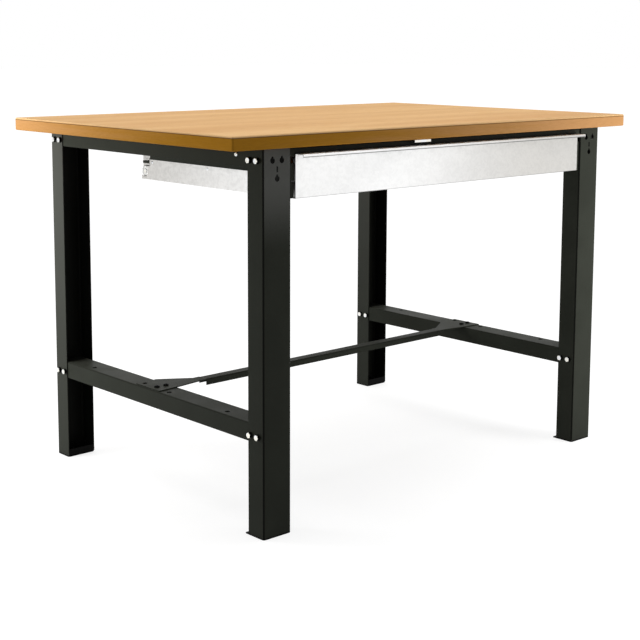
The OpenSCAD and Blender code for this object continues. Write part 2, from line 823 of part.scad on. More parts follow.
module runner_rivets() {
    color(zinc) for (s = [-1, 1]) on_side(s) {
        rivet_spots() {
            translate([0, 0, -rivet_dome_h]) cylinder(d = rivet_head_d, h = rivet_dome_h);
            translate([0, 0, -EPS]) cylinder(d = rivet_d, h = runner_t + hanger_t + 2 * EPS);
            translate([0, 0, runner_t + hanger_t]) cylinder(d = rivet_head_d, h = head_t);
        }
        bracket_rivet_spots() {
            cylinder(d = rivet_d, h = hanger_t + runner_t + EPS);
            translate([0, 0, hanger_t + runner_t]) cylinder(d = rivet_head_d, h = head_t);
        }
    }
}

module stop(s) {
    color(black_rubber) on_side(s)
        translate([hanger_x + hanger_t, stop_y, stop_z]) cube([stop_w, stop_l, stop_h]);
}

// Rollers and pins

// Roller with its axis along x, from x = 0 inwards
module roller() {
    bore_r = pin_d / 2 + pin_clear;
    rim_r = roller_d / 2;
    edge = 0.8;
    rim_t = 2;
    hub_r = pin_head_d / 2 + edge / 2;
    half =[[bore_r, 0], [hub_r, 0], [hub_r + edge / 2, edge], [rim_r - rim_t - edge / 2, edge],
        [rim_r - rim_t, 0], [rim_r - edge, 0], [rim_r, edge]];
    last = len(half) - 1;
    rotate([0, 90, 0]) rotate_extrude()
        polygon([for (p = half) p, for (i = [last : -1 : 0]) [half[i][0], roller_w - half[i][1]]]);
}

module front_roller(s) {
    color(nylon) on_side(s) translate([roller_x, front_pin_y, front_roller_z]) roller();
}

module rear_roller(s) {
    color(nylon) on_side(s) translate([roller_x, rear_pin_y, rear_roller_z]) roller();
}

// Front pin: riveted in the runner, collar on the runner's inside, head past the roller
module front_pin(s) {
    color(zinc) on_side(s) translate([runner_x, front_pin_y, front_roller_z]) rotate([0, 90, 0]) {
        cylinder(d = pin_d, h = roller_end_x - runner_x + head_gap + head_t);
        translate([0, 0, runner_t]) cylinder(d = pin_head_d, h = collar_l - run_gap);
        translate([0, 0, roller_end_x - runner_x + head_gap]) cylinder(d = pin_head_d, h = head_t);
    }
}

// Rear pin: riveted in the drawer rail's tab, its head on the outside of the roller
module rear_pin(s) {
    pin_l = drawer_rail_x + runner_t - roller_x + run_gap + head_t;
    color(zinc) on_side(s) translate([side_x, rear_pin_y, rear_roller_z]) rotate([0, -90, 0]) {
        cylinder(d = pin_d, h = pin_l);
        translate([0, 0, runner_t]) cylinder(d = pin_head_d, h = drawer_rail_x - roller_end_x - run_gap);
        translate([0, 0, pin_l - head_t]) cylinder(d = pin_head_d, h = head_t);
    }
}

// Clip under the board's front edge

module board_clip() {
    color(zinc) difference() {
        translate([-clip_x - clip_w / 2, clip_y, under_z - clip_h]) {
            cube([clip_w, clip_t, clip_h]);
            translate([0, 0, clip_h - clip_t]) cube([clip_w, clip_out + top_rail_y - run_gap, clip_t]);
        }
        translate([-clip_x, clip_screw_y, under_z])
            cylinder(r = screw_d / 2 + bolt_clear, h = 4 * clip_t, center = true);
    }
}

// Drawer

module drawer_front() {
    half = sheet_t / 2;
    skin_y = front_y + half;
    pull_y = front_y - pull_out + half;
    color(galvanised) {
        translate([front_x, 0, 0]) folded_sheet(-2 * front_x, [
            [front_y + fold_d, front_z + half], [skin_y, front_z + half], [skin_y, pull_z - half],
            [pull_y, pull_z - half], [pull_y, pull_z - pull_h + half]], sheet_t);
        for (s = [-1, 1]) on_side(s)
            translate([front_x, front_y + half, front_z + half])
                cube([sheet_t, fold_d - half, front_h - pull_h]);
    }
}

// Side with its edges folded inwards, drawn for the left
module drawer_side(s) {
    side_h = side_top_z - side_z;
    color(galvanised) on_side(s) difference() {
        translate([side_x, drawer_y, side_z]) {
            cube([sheet_t, drawer_l, side_h]);
            cube([hem_w, drawer_l, sheet_t]);
            translate([0, 0, side_h - sheet_t]) cube([top_hem_w, drawer_l, sheet_t]);
            translate([0, 0, 2 * sheet_t]) cube([hem_w, sheet_t, side_h - 3 * sheet_t]);
        }
        drawer_rivet_spots() rivet_hole();
    }
}

module drawer_back() {
    back_h = side_top_z - side_z - 3 * sheet_t;
    color(galvanised) translate([-inner_w / 2, drawer_end_y - sheet_t, side_z + 2 * sheet_t]) {
        cube([inner_w, sheet_t, back_h]);
        translate([0, -top_hem_w, back_h - sheet_t]) cube([inner_w, top_hem_w + EPS, sheet_t]);
    }
}

module drawer_bottom() {
    color(galvanised) translate([-inner_w / 2, drawer_y + sheet_t, side_z + sheet_t])
        cube([inner_w, drawer_l - sheet_t, sheet_t]);
}

module drawer_rivet_spots() {
    for (y = drawer_rivet_y)
        translate([drawer_rail_x, y, drawer_rivet_z]) rotate([0, 90, 0]) children();
}

// Rail on the drawer's side: a web, the lip that runs on the front roller and the ear that meets
// the stops. The rear roller's tab hangs from the web as a node of its own.
module drawer_rail(s) {
    color(galvanised) on_side(s) difference() {
        union() {
            translate([drawer_rail_x, drawer_rail_y, lip_z])
                cube([runner_t, drawer_rail_end_y - drawer_rail_y, drawer_rail_h]);
            translate([lip_x, drawer_rail_y, lip_z])
                cube([drawer_rail_x - lip_x + EPS, ear_y - drawer_rail_y, runner_t]);
            translate([lip_x, ear_y - runner_t, lip_z])
                cube([drawer_rail_x - lip_x + EPS, runner_t, stop_z + stop_h - lip_z]);
        }
        drawer_rivet_spots() rivet_hole();
    }
}

module drawer_rail_tab(s) {
    color(galvanised) on_side(s) difference() {
        translate([drawer_rail_x, rear_pin_y - tab_l / 2, rear_roller_z - tab_drop])
            cube([runner_t, tab_l, lip_z - rear_roller_z + tab_drop]);
        translate([drawer_rail_x, rear_pin_y, rear_roller_z]) rotate([0, 90, 0])
            cylinder(r = pin_d / 2 + hole_gap, h = 4 * runner_t, center = true);
    }
}

module drawer_rivets() {
    color(zinc) for (s = [-1, 1]) on_side(s) drawer_rivet_spots() {
        translate([0, 0, -head_t]) cylinder(d = rivet_head_d, h = head_t);
        translate([0, 0, -EPS]) cylinder(d = rivet_d, h = runner_t + sheet_t + 2 * EPS);
        translate([0, 0, runner_t + sheet_t]) cylinder(d = rivet_head_d, h = head_t);
    }
}

top_board();
leg(-1, false);  // leg_front_left
leg(1, false);  // leg_front_right
leg(-1, true);  // leg_back_left
leg(1, true);  // leg_back_right
foot(-1, false);  // foot_front_left
foot(1, false);  // foot_front_right
foot(-1, true);  // foot_back_left
foot(1, true);  // foot_back_right
end_rail(-1);  // end_rail_left
end_rail(1);  // end_rail_right
stretcher(-1);  // stretcher_left
stretcher(1);  // stretcher_right
top_rail(false);  // front_top_rail
top_rail(true);  // back_top_rail
brace();
hanger(-1);  // hanger_left
hanger(1);  // hanger_right
front_bracket(-1);  // front_bracket_left
front_bracket(1);  // front_bracket_right
runner(-1);  // runner_left
runner(1);  // runner_right
runner_track(-1);  // runner_track_left
runner_track(1);  // runner_track_right
runner_guard(-1);  // runner_guard_left
runner_guard(1);  // runner_guard_right
stop(-1);  // stop_left
stop(1);  // stop_right
front_pin(-1);  // front_pin_left
front_pin(1);  // front_pin_right
front_roller(-1);  // front_roller_left
front_roller(1);  // front_roller_right
board_clip();
joint_bolts();
joint_nuts();
brace_screws();
brace_nuts();
top_rail_bolts();
top_rail_nuts();
bracket_screws();
runner_rivets();
board_screws();
board_washers();
rail_side_screws();
drawer_front();
drawer_side(-1);  // drawer_side_left
drawer_side(1);  // drawer_side_right
drawer_back();
drawer_bottom();
drawer_rail(-1);  // drawer_rail_left
drawer_rail(1);  // drawer_rail_right
drawer_rail_tab(-1);  // drawer_rail_tab_left
drawer_rail_tab(1);  // drawer_rail_tab_right
drawer_rivets();
rear_pin(-1);  // rear_pin_left
rear_pin(1);  // rear_pin_right
rear_roller(-1);  // rear_roller_left
rear_roller(1);  // rear_roller_right
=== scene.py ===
"""A work table: a thick wooden board on four folded steel legs, with rails, a low
brace and a wide sheet-metal drawer on roller runners.

Sizes are in millimetres in the part's own frame: +X along the table, -Y towards the
drawer's front, +Z up, the origin on the floor under the middle. They become metres
where a mesh is made. Pieces that come in pairs are drawn for the front left corner
and mirrored.
"""
from __future__ import annotations

import logging
import math
import random
from dataclasses import dataclass, field
from enum import Enum
from typing import Callable, Iterable, Sequence, Union

import bmesh
import bpy
from mathutils import Matrix, Vector

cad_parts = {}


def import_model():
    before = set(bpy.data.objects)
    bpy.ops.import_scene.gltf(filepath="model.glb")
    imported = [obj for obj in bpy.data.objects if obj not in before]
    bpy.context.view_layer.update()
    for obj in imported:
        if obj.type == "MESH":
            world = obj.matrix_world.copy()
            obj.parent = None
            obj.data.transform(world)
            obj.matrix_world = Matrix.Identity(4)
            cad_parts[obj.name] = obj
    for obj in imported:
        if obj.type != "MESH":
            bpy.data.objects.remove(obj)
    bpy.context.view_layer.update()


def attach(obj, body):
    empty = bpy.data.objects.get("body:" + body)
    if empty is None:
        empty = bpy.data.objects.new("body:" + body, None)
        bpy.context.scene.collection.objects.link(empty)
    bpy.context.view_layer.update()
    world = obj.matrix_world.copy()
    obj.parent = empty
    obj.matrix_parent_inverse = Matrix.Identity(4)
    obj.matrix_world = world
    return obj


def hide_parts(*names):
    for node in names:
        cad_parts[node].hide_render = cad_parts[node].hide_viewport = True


LOG = logging.getLogger("work_table")
MM = 0.001
MID_Y = 5.0

Flat = tuple[float, float]
Outline = list[Flat]
Amount = Union[float, Callable[[float], float]]
Colour = tuple[float, float, float]


class Side(Enum):
    """Left or right half of the table, with the sign of its x."""

    LEFT = -1
    RIGHT = 1


class End(Enum):
    """Front, where the drawer opens, or back, with the sign of its y."""

    FRONT = -1
    BACK = 1


class Axis(Enum):
    """The axis that an outline is drawn out along."""

    X = "x"
    Y = "y"
    Z = "z"


class Slot(Enum):
    """The record's material slots."""

    BOARD = "board_wood"
    PAINT = "frame_paint"
    GALVANISED = "galvanised_sheet"
    ZINC = "zinc_bright"
    BLACK = "black_screw"
    PLASTIC = "foot_plastic"
    RUBBER = "stop_rubber"
    NYLON = "roller_nylon"


CORNERS = [(side, end) for end in End for side in Side]


def corner_name(side: Side, end: End) -> str:
    """Return a corner's name as the frame's nodes write it."""
    return f"{end.name}_{side.name}".lower()


# Shapes


def spot(axis: Axis, u: float, v: float, w: float) -> Vector:
    """Place an outline's point in space.

    Args:
        axis: The axis that the outline is drawn out along.
        u: First coordinate in the outline: y on X, x on Y and Z.
        v: Second coordinate in the outline: z on X and Y, y on Z.
        w: Distance along the axis.

    Returns:
        The point.
    """
    if axis is Axis.X:
        return Vector((w, u, v))
    if axis is Axis.Y:
        return Vector((u, w, v))
    return Vector((u, v, w))


@dataclass
class Shape:
    """Closed solids, held as one list of points and one of faces."""

    points: list[Vector] = field(default_factory=list)
    faces: list[tuple[int, ...]] = field(default_factory=list)

    def add(self, points: Iterable[Vector], faces: Iterable[Sequence[int]]) -> Shape:
        """Add points, and faces that count from the first of them.

        Args:
            points: The new points.
            faces: The new faces.

        Returns:
            This shape.
        """
        base = len(self.points)
        self.points += [Vector(p) for p in points]
        self.faces += [tuple(base + i for i in face) for face in faces]
        return self

    def join(self, *others: Shape) -> Shape:
        """Add other shapes as they are.

        Args:
            others: The shapes to add.

        Returns:
            This shape.
        """
        for other in others:
            self.add(other.points, other.faces)
        return self

    def moved(self, matrix: Matrix) -> Shape:
        """Return a copy moved by a matrix."""
        return Shape([matrix @ p for p in self.points], list(self.faces))

    def mirrored(self, side: Side, end: End = End.FRONT) -> Shape:
        """Take a shape drawn for the front left corner to another corner.

        Args:
            side: The half it goes to.
            end: The end it goes to.

        Returns:
            The shape there.
        """
        def place(p: Vector) -> Vector:
            return Vector((p.x * -side.value,
                           p.y if end is End.FRONT else 2 * MID_Y - p.y, p.z))
        return Shape([place(p) for p in self.points], list(self.faces))


def loft(rings: Sequence[Sequence[Vector]], ring: bool = False) -> Shape:
    """Skin over rings of points.

    Args:
        rings: Rings with the same number of points; the first and last may be one point.
        ring: Whether the last ring joins the first, as in a tube's wall.

    Returns:
        The closed shape.
    """
    points: list[Vector] = []
    starts: list[int] = []
    for level in rings:
        starts.append(len(points))
        points += list(level)
    faces: list[tuple[int, ...]] = []
    pairs = [(k, k + 1) for k in range(len(rings) - 1)]
    if ring:
        pairs.append((len(rings) - 1, 0))
    for a, b in pairs:
        count = max(len(rings[a]), len(rings[b]))
        for i in range(count):
            j = (i + 1) % count
            if len(rings[a]) == 1:
                faces.append((starts[a], starts[b] + j, starts[b] + i))
            elif len(rings[b]) == 1:
                faces.append((starts[a] + i, starts[a] + j, starts[b]))
            else:
                faces.append((starts[a] + i, starts[a] + j, starts[b] + j, starts[b] + i))
    if not ring:
        if len(rings[0]) > 1:
            faces.append(tuple(range(len(rings[0])))[::-1])
        if len(rings[-1]) > 1:
            faces.append(tuple(starts[-1] + i for i in range(len(rings[-1]))))
    return Shape(points, faces)


def prism(outline: Outline, axis: Axis, low: float, high: float) -> Shape:
    """Draw an outline out along an axis.

    Args:
        outline: The outline's corners in order.
        axis: The axis it is drawn out along.
        low: Where it starts.
        high: Where it ends.

    Returns:
        The closed shape.
    """
    return loft([[spot(axis, u, v, w) for u, v in outline] for w in (low, high)])


def cuboid(low: Sequence[float], high: Sequence[float]) -> Shape:
    """Return a box between two corners."""
    outline = [(low[0], low[1]), (high[0], low[1]), (high[0], high[1]), (low[0], high[1])]
    return prism(outline, Axis.Z, low[2], high[2])


def circle(centre: Flat, radius: float, steps: int = 28) -> Outline:
    """Return a circle's outline."""
    turn = 2 * math.pi / steps
    return [(centre[0] + radius * math.cos(turn * i), centre[1] + radius * math.sin(turn * i))
            for i in range(steps)]


def rounded_rect(low: Flat, high: Flat, radius: float, steps: int = 5) -> Outline:
    """Return a rectangle's outline with round corners."""
    out: Outline = []
    centres = [(high[0] - radius, high[1] - radius), (low[0] + radius, high[1] - radius),
               (low[0] + radius, low[1] + radius), (high[0] - radius, low[1] + radius)]
    for k, (x, y) in enumerate(centres):
        for i in range(steps + 1):
            angle = math.pi / 2 * (k + i / steps)
            out.append((x + radius * math.cos(angle), y + radius * math.sin(angle)))
    return out


def turned(profile: Sequence[tuple[Amount, Amount]], steps: int = 36,
           ring: bool = False) -> Shape:
    """Turn a profile about the z axis.

    Args:
        profile: Radius and height of each ring, numbers or functions of the angle.
        steps: Points in a ring.
        ring: Whether the profile closes on itself, as in a tube.

    Returns:
        The closed shape.
    """
    def value(amount: Amount, angle: float) -> float:
        return amount(angle) if callable(amount) else amount
    rings = []
    for radius, height in profile:
        if radius == 0:
            rings.append([Vector((0, 0, value(height, 0)))])
            continue
        angles = [2 * math.pi * i / steps for i in range(steps)]
        rings.append([Vector((value(radius, a) * math.cos(a), value(radius, a) * math.sin(a),
                              value(height, a))) for a in angles])
    return loft(rings, ring)


def hexagon(across: float) -> Callable[[float], float]:
    """Return the radius of a hexagon at an angle, from its width across flats."""
    def radius(angle: float) -> float:
        return across / 2 / math.cos(angle % (math.pi / 3) - math.pi / 6)
    return radius


def lobes(mean: float, depth: float) -> Callable[[float], float]:
    """Return the radius of a six-lobed recess at an angle."""
    def radius(angle: float) -> float:
        return mean + depth * math.cos(6 * angle)
    return radius


def stood(shape: Shape, place: Vector, facing: Vector, turn: float = 0.0) -> Shape:
    """Stand a shape drawn about the z axis at a place.

    Args:
        shape: The shape, its foot at the origin and its head towards +Z.
        place: Where its foot goes.
        facing: The way its head goes.
        turn: Its turn about its own axis, in radians.

    Returns:
        The shape there.
    """
    rotation = facing.to_track_quat("Z", "Y").to_matrix().to_4x4()
    return shape.moved(Matrix.Translation(place) @ rotation @ Matrix.Rotation(turn, 4, "Z"))


def bend_line(corners: Sequence[Flat], radius: float, steps: int = 5
              ) -> list[tuple[Vector, Vector]]:
    """Follow a folded sheet's centre line.

    Args:
        corners: The line's ends, and the corners where it folds.
        radius: The centre line's radius at a fold.
        steps: Steps in a fold.

    Returns:
        Points along the line, each with the sheet's normal.
    """
    spots: list[tuple[Vector, Vector]] = []
    ends = [Vector(c) for c in corners]
    ways = [(b - a).normalized() for a, b in zip(ends, ends[1:])]
    normals = [Vector((-w.y, w.x)) for w in ways]
    spots.append((ends[0], normals[0]))
    for corner, before, after, normal in zip(ends[1:], ways, ways[1:], normals):
        turn = math.atan2(before.x * after.y - before.y * after.x, before.dot(after))
        sign = 1 if turn > 0 else -1
        centre = corner - before * radius * math.tan(abs(turn) / 2) + normal * sign * radius
        for k in range(steps + 1):
            side = Matrix.Rotation(turn * k / steps, 2) @ normal
            spots.append((centre - side * sign * radius, side))
    spots.append((ends[-1], normals[-1]))
    return spots


def sheet(corners: Sequence[Flat], radius: float, thick: float, axis: Axis, low: float,
          high: float) -> Shape:
    """Draw a folded sheet out along an axis.

    Args:
        corners: Corners of the sheet's centre line.
        radius: The centre line's radius at a fold.
        thick: The sheet's thickness.
        axis: The axis it is drawn out along.
        low: Where it starts.
        high: Where it ends.

    Returns:
        The closed shape.
    """
    line = bend_line(corners, radius)
    count = len(line)
    points: list[Vector] = []
    for w in (low, high):
        for sign in (0.5, -0.5):
            points += [spot(axis, *(p + n * thick * sign), w) for p, n in line]
    left_low, right_low, left_high, right_high = (count * k for k in range(4))
    faces: list[tuple[int, ...]] = []
    for i in range(count - 1):
        j = i + 1
        faces += [(left_low + i, left_low + j, left_high + j, left_high + i),
                  (right_low + j, right_low + i, right_high + i, right_high + j),
                  (left_low + j, left_low + i, right_low + i, right_low + j),
                  (left_high + i, left_high + j, right_high + j, right_high + i)]
    for i in (0, count - 1):
        faces.append((left_low + i, left_high + i, right_high + i, right_low + i))
    return Shape(points, faces)


def rod(axis: Axis, centre: Flat, radius: float, low: float, high: float) -> Shape:
    """Return a round bar along an axis, used to cut a hole."""
    return prism(circle(centre, radius), axis, low, high)


# Meshes


def raw_mesh(name: str, shape: Shape, soft: float) -> bpy.types.Mesh:
    """Make a mesh of a shape.

    Args:
        name: The mesh's name.
        shape: The shape, in millimetres.
        soft: Width of the rounding on its sharp edges, in millimetres.

    Returns:
        The mesh, in metres.
    """
    tool = bmesh.new()
    corners = [tool.verts.new(p * MM) for p in shape.points]
    for face in shape.faces:
        tool.faces.new([corners[i] for i in face])
    bmesh.ops.recalc_face_normals(tool, faces=tool.faces)
    if soft > 0:
        sharp = [e for e in tool.edges if e.calc_face_angle(0.0) > math.radians(35)]
        bmesh.ops.bevel(tool, geom=sharp, offset=soft * MM, segments=2, profile=0.5,
                        affect="EDGES", clamp_overlap=True)
    mesh = bpy.data.meshes.new(name)
    tool.to_mesh(mesh)
    tool.free()
    return mesh


def settle(piece: bpy.types.Object) -> None:
    """Put a piece's modifiers into its mesh."""
    depsgraph = bpy.context.evaluated_depsgraph_get()
    finished = bpy.data.meshes.new_from_object(
        piece.evaluated_get(depsgraph), preserve_all_data_layers=True, depsgraph=depsgraph)
    old = piece.data
    piece.modifiers.clear()
    piece.data = finished
    bpy.data.meshes.remove(old)


def combine(piece: bpy.types.Object, shape: Shape, operation: str, soft: float = 0.0) -> None:
    """Cut a shape out of a piece, or join one to it.

    Args:
        piece: The piece.
        shape: The shape.
        operation: DIFFERENCE or UNION.
        soft: Width of the rounding on the shape's own edges.
    """
    other = bpy.data.objects.new("tool", raw_mesh("tool", shape, soft))
    bpy.context.scene.collection.objects.link(other)
    step = piece.modifiers.new("combine", "BOOLEAN")
    step.operation, step.solver, step.object = operation, "EXACT", other
    settle(piece)
    mesh = other.data
    bpy.data.objects.remove(other)
    bpy.data.meshes.remove(mesh)


@dataclass
class Workshop:
    """Makes finished pieces and fixes them to the frame's bodies."""

    finishes: dict[Slot, bpy.types.Material]
    made: int = 0

    def make(self, name: str, shape: Shape, slot: Slot, body: str, nodes: Sequence[str],
             cuts: Shape | None = None, fused: Sequence[Shape] = (), soft: float = 0.3,
             crease: float = 24.0) -> None:
        """Make one piece.

        Args:
            name: The piece's name.
            shape: Its main shape.
            slot: The finish that it takes.
            body: The body that it moves with.
            nodes: The frame's nodes that it stands for.
            cuts: What is cut out of it.
            fused: Shapes that become one with it before the cuts.
            soft: Width of the rounding on its sharp edges.
            crease: The angle above which an edge shows sharp, in degrees.
        """
        piece = bpy.data.objects.new(name, raw_mesh(name, shape, soft))
        bpy.context.scene.collection.objects.link(piece)
        for extra in fused:
            combine(piece, extra, "UNION", soft)
        if cuts is not None:
            combine(piece, cuts, "DIFFERENCE")
        piece.data.shade_smooth()
        piece.data.set_sharp_from_angle(angle=math.radians(crease))
        even = piece.modifiers.new("even_normals", "WEIGHTED_NORMAL")
        even.keep_sharp = True
        settle(piece)
        piece.data.name = name
        piece.data.materials.clear()
        piece.data.materials.append(self.finishes[slot])
        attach(piece, body)
        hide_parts(*nodes)
        self.made += 1
        LOG.info("made %s for %s on %s", name, ", ".join(nodes), body)


# Board


@dataclass
class Board:
    """The thick wooden board, with the fine joint under its top layer."""

    length: float = 1300.0
    depth: float = 840.0
    under: float = 820.0
    thick: float = 30.0
    corner: float = 4.0
    arris: float = 3.0
    joint_z: float = 844.8
    joint_h: float = 1.6
    joint_in: float = 0.2

    def shape(self) -> Shape:
        """Return the board with its rounded arrises and its fine joint."""
        top = self.under + self.thick
        levels: list[Flat] = []
        for k in range(4):
            angle = math.pi / 2 * k / 3
            levels.append((self.arris * (1 - math.sin(angle)),
                           self.under + self.arris * (1 - math.cos(angle))))
        low, high = self.joint_z, self.joint_z + self.joint_h
        levels += [(0.0, low - 0.1), (self.joint_in, low + 0.1), (self.joint_in, high - 0.1),
                   (0.0, high + 0.1)]
        for k in range(4):
            angle = math.pi / 2 * k / 3
            levels.append((self.arris * (1 - math.cos(angle)),
                           top - self.arris * (1 - math.sin(angle))))
        rings = []
        for inset, height in levels:
            half_x, half_y = self.length / 2 - inset, self.depth / 2 - inset
            outline = rounded_rect((-half_x, MID_Y - half_y), (half_x, MID_Y + half_y),
                                   self.corner - inset)
            rings.append([Vector((x, y, height)) for x, y in outline])
        return loft(rings)

    def build(self, shop: Workshop) -> None:
        """Make the board."""
        shop.make("worktop", self.shape(), Slot.BOARD, "frame", ["top_board"], soft=0.0,
                  crease=32.0)


# Legs and feet


@dataclass
class Legs:
    """Four legs folded as C sections, open inwards, with keyholes in the front ones."""

    outer_x: float = 560.0
    inner_x: float = 485.0
    face_y: float = -400.0
    flange_y: float = -350.0
    wall: float = 2.0
    fold: float = 3.0
    foot_z: float = 3.0
    top_z: float = 820.0
    keyhole_r: float = 6.0
    keyhole_neck: float = 2.5
    keyhole_reach: float = 9.0
    keyhole_pitch: float = 25.0
    keyhole_z: float = 795.0
    low_keyhole_z: float = 758.0
    slot_z: float = 777.0
    slot_w: float = 4.0
    slot_l: float = 12.0
    slot_corner: float = 0.6

    @property
    def through(self) -> Flat:
        """Where a cut through the web starts and ends."""
        return self.face_y - 3, self.face_y + 6

    @property
    def middle(self) -> float:
        """Distance of the web's middle from the table's middle."""
        return (self.outer_x + self.inner_x) / 2

    def profile(self) -> Shape:
        """Return the folded C section, front left."""
        half = self.wall / 2
        out, into, face = -self.outer_x + half, -self.inner_x - half, self.face_y + half
        line = [(out, self.flange_y), (out, face), (into, face), (into, self.flange_y)]
        return sheet(line, self.fold, self.wall, Axis.Z, self.foot_z, self.top_z)

    def keyhole(self, x: float, z: float) -> Shape:
        """Return the cut of one keyhole through the web."""
        neck, reach = self.keyhole_neck, self.keyhole_reach
        start = math.pi - math.acos(neck / self.keyhole_r)
        sweep = 2 * math.pi - 2 * math.asin(neck / self.keyhole_r)
        outline: Outline = []
        for k in range(25):
            angle = start + sweep * k / 24
            outline.append((x + self.keyhole_r * math.cos(angle),
                            z + self.keyhole_r * math.sin(angle)))
        for k in range(9):
            angle = math.pi * k / 8
            outline.append((x + neck * math.cos(angle), z + reach - neck + neck * math.sin(angle)))
        return prism(outline, Axis.Y, *self.through)

    def cuts(self) -> Shape:
        """Return the keyholes and the short slot in the web."""
        x = -self.middle
        out = Shape()
        for side in (-0.5, 0.5):
            out.join(self.keyhole(x + side * self.keyhole_pitch, self.keyhole_z))
        out.join(self.keyhole(x, self.low_keyhole_z))
        half_w, half_l = self.slot_w / 2, self.slot_l / 2
        slot_outline = rounded_rect((x - half_w, self.slot_z - half_l),
                                    (x + half_w, self.slot_z + half_l), self.slot_corner, 2)
        out.join(prism(slot_outline, Axis.Y, *self.through))
        return out

    def build(self, shop: Workshop) -> None:
        """Make the four legs."""
        for side, end in CORNERS:
            where = corner_name(side, end)
            cuts = self.cuts().mirrored(side) if end is End.FRONT else None
            shop.make(f"{where}_post", self.profile().mirrored(side, end), Slot.PAINT, "frame",
                      [f"leg_{where}"], cuts)


@dataclass
class Feet:
    """Plastic soles with plugs that fit in the legs; the front ones have a heel behind."""

    low: Flat = (-561.0, -401.0)
    size: Flat = (77.0, 61.0)
    back_size: Flat = (77.0, 52.0)
    sole: float = 3.0
    corner: float = 7.0
    heel_corner: float = 2.4
    plug_low: Flat = (-557.7, -397.7)
    plug_size: Flat = (70.4, 47.4)
    plug_wall: float = 3.0
    plug_top: float = 19.0
    rib: float = 2.0
    rib_places: Flat = (0.35, 0.65)
    edge: tuple[Flat, ...] = ((1.6, 0.0), (0.7, 0.4), (0.2, 1.0), (0.0, 1.7), (0.0, 2.5))
    top_inset: float = 0.5

    def shape(self, end: End) -> Shape:
        """Return the sole of a front or back leg, its lower edge drawn in."""
        size, heel = (self.size, self.heel_corner) if end is End.FRONT else (
            self.back_size, self.corner)
        middle = self.low[1] + size[1] / 2
        rings = []
        for inset, height in (*self.edge, (self.top_inset, self.sole)):
            low = (self.low[0] + inset, self.low[1] + inset)
            high = (self.low[0] + size[0] - inset, self.low[1] + size[1] - inset)
            rings.append([Vector((*(fore if fore[1] < middle else rear), height))
                          for fore, rear in zip(rounded_rect(low, high, self.corner - inset),
                                                rounded_rect(low, high, heel - inset))])
        return loft(rings)

    def plug(self) -> Shape:
        """Return the hollow plug above the sole."""
        x, y = self.plug_low
        w, d = self.plug_size
        outer = rounded_rect((x, y), (x + w, y + d), 2.0)
        wall = self.plug_wall
        inner = rounded_rect((x + wall, y + wall), (x + w - wall, y + d - wall), 1.0)
        low, top = self.sole - 0.5, self.plug_top
        rings = [[Vector((u, v, z)) for u, v in line]
                 for line, z in ((outer, low), (outer, top), (inner, top), (inner, low))]
        return loft(rings, ring=True)

    def ribs(self) -> list[Shape]:
        """Return the two ribs across the hollow of the plug."""
        x, y = self.plug_low
        w, d = self.plug_size
        half = self.rib / 2
        top = self.plug_top - 4
        return [cuboid((x + w * share - half, y + 1, self.sole - 0.4),
                       (x + w * share + half, y + d - 1, top)) for share in self.rib_places]

    def build(self, shop: Workshop) -> None:
        """Make the four feet."""
        for side, end in CORNERS:
            where = corner_name(side, end)
            fused = [part.mirrored(side, end) for part in [self.plug(), *self.ribs()]]
            shop.make(f"{where}_shoe", self.shape(end).mirrored(side, end), Slot.PLASTIC, "frame",
                      [f"foot_{where}"], fused=fused)


# Rails and brace


@dataclass
class EndBeams:
    """Inverted U beams between front and back leg, four holes in the top of each."""

    start_y: float = -395.5
    end_y: float = 405.5
    wall: float = 2.0
    fold: float = 2.5
    width: float = 60.0
    height: float = 40.0
    hole_r: float = 6.0
    hole_spots: tuple[float, ...] = (-260.0, -48.0, 48.0, 260.0)
    rail_top: float = 820.0
    rail_hole_x: float = 516.0
    lower_top: float = 244.0
    left_x: float = -558.0
    right_x: float = 547.0
    hole_in: float = 18.0

    def beam(self, low_x: float, top: float) -> Shape:
        """Return a beam from its lowest x and its top."""
        half = self.wall / 2
        left, right = low_x + half, low_x + self.width - half
        line = [(left, top - self.height), (left, top - half), (right, top - half),
                (right, top - self.height)]
        return sheet(line, self.fold, self.wall, Axis.Y, self.start_y, self.end_y)

    def holes(self, x: float, top: float) -> Shape:
        """Return cuts for holes along a beam's top."""
        cuts = Shape()
        for y in self.hole_spots:
            cuts.join(rod(Axis.Z, (x, MID_Y + y), self.hole_r, top - 5, top + 5))
        return cuts

    def build(self, shop: Workshop) -> None:
        """Make the two upper rails and the two lower stretchers."""
        for side in Side:
            name = side.name.lower()
            beam = self.beam(self.left_x, self.rail_top).mirrored(side)
            cuts = self.holes(-self.rail_hole_x, self.rail_top)
            shop.make(f"{name}_upper_rail", beam, Slot.PAINT, "frame", [f"end_rail_{name}"],
                      cuts.mirrored(side))
        low_x = self.right_x - self.width
        lower = ((Side.LEFT, self.left_x, self.left_x + self.hole_in),
                 (Side.RIGHT, low_x, self.right_x - self.hole_in))
        for side, x, hole_x in lower:
            name = side.name.lower()
            cuts = self.holes(hole_x, self.lower_top)
            shop.make(f"{name}_lower_rail", self.beam(x, self.lower_top), Slot.PAINT, "frame",
                      [f"stretcher_{name}"], cuts)


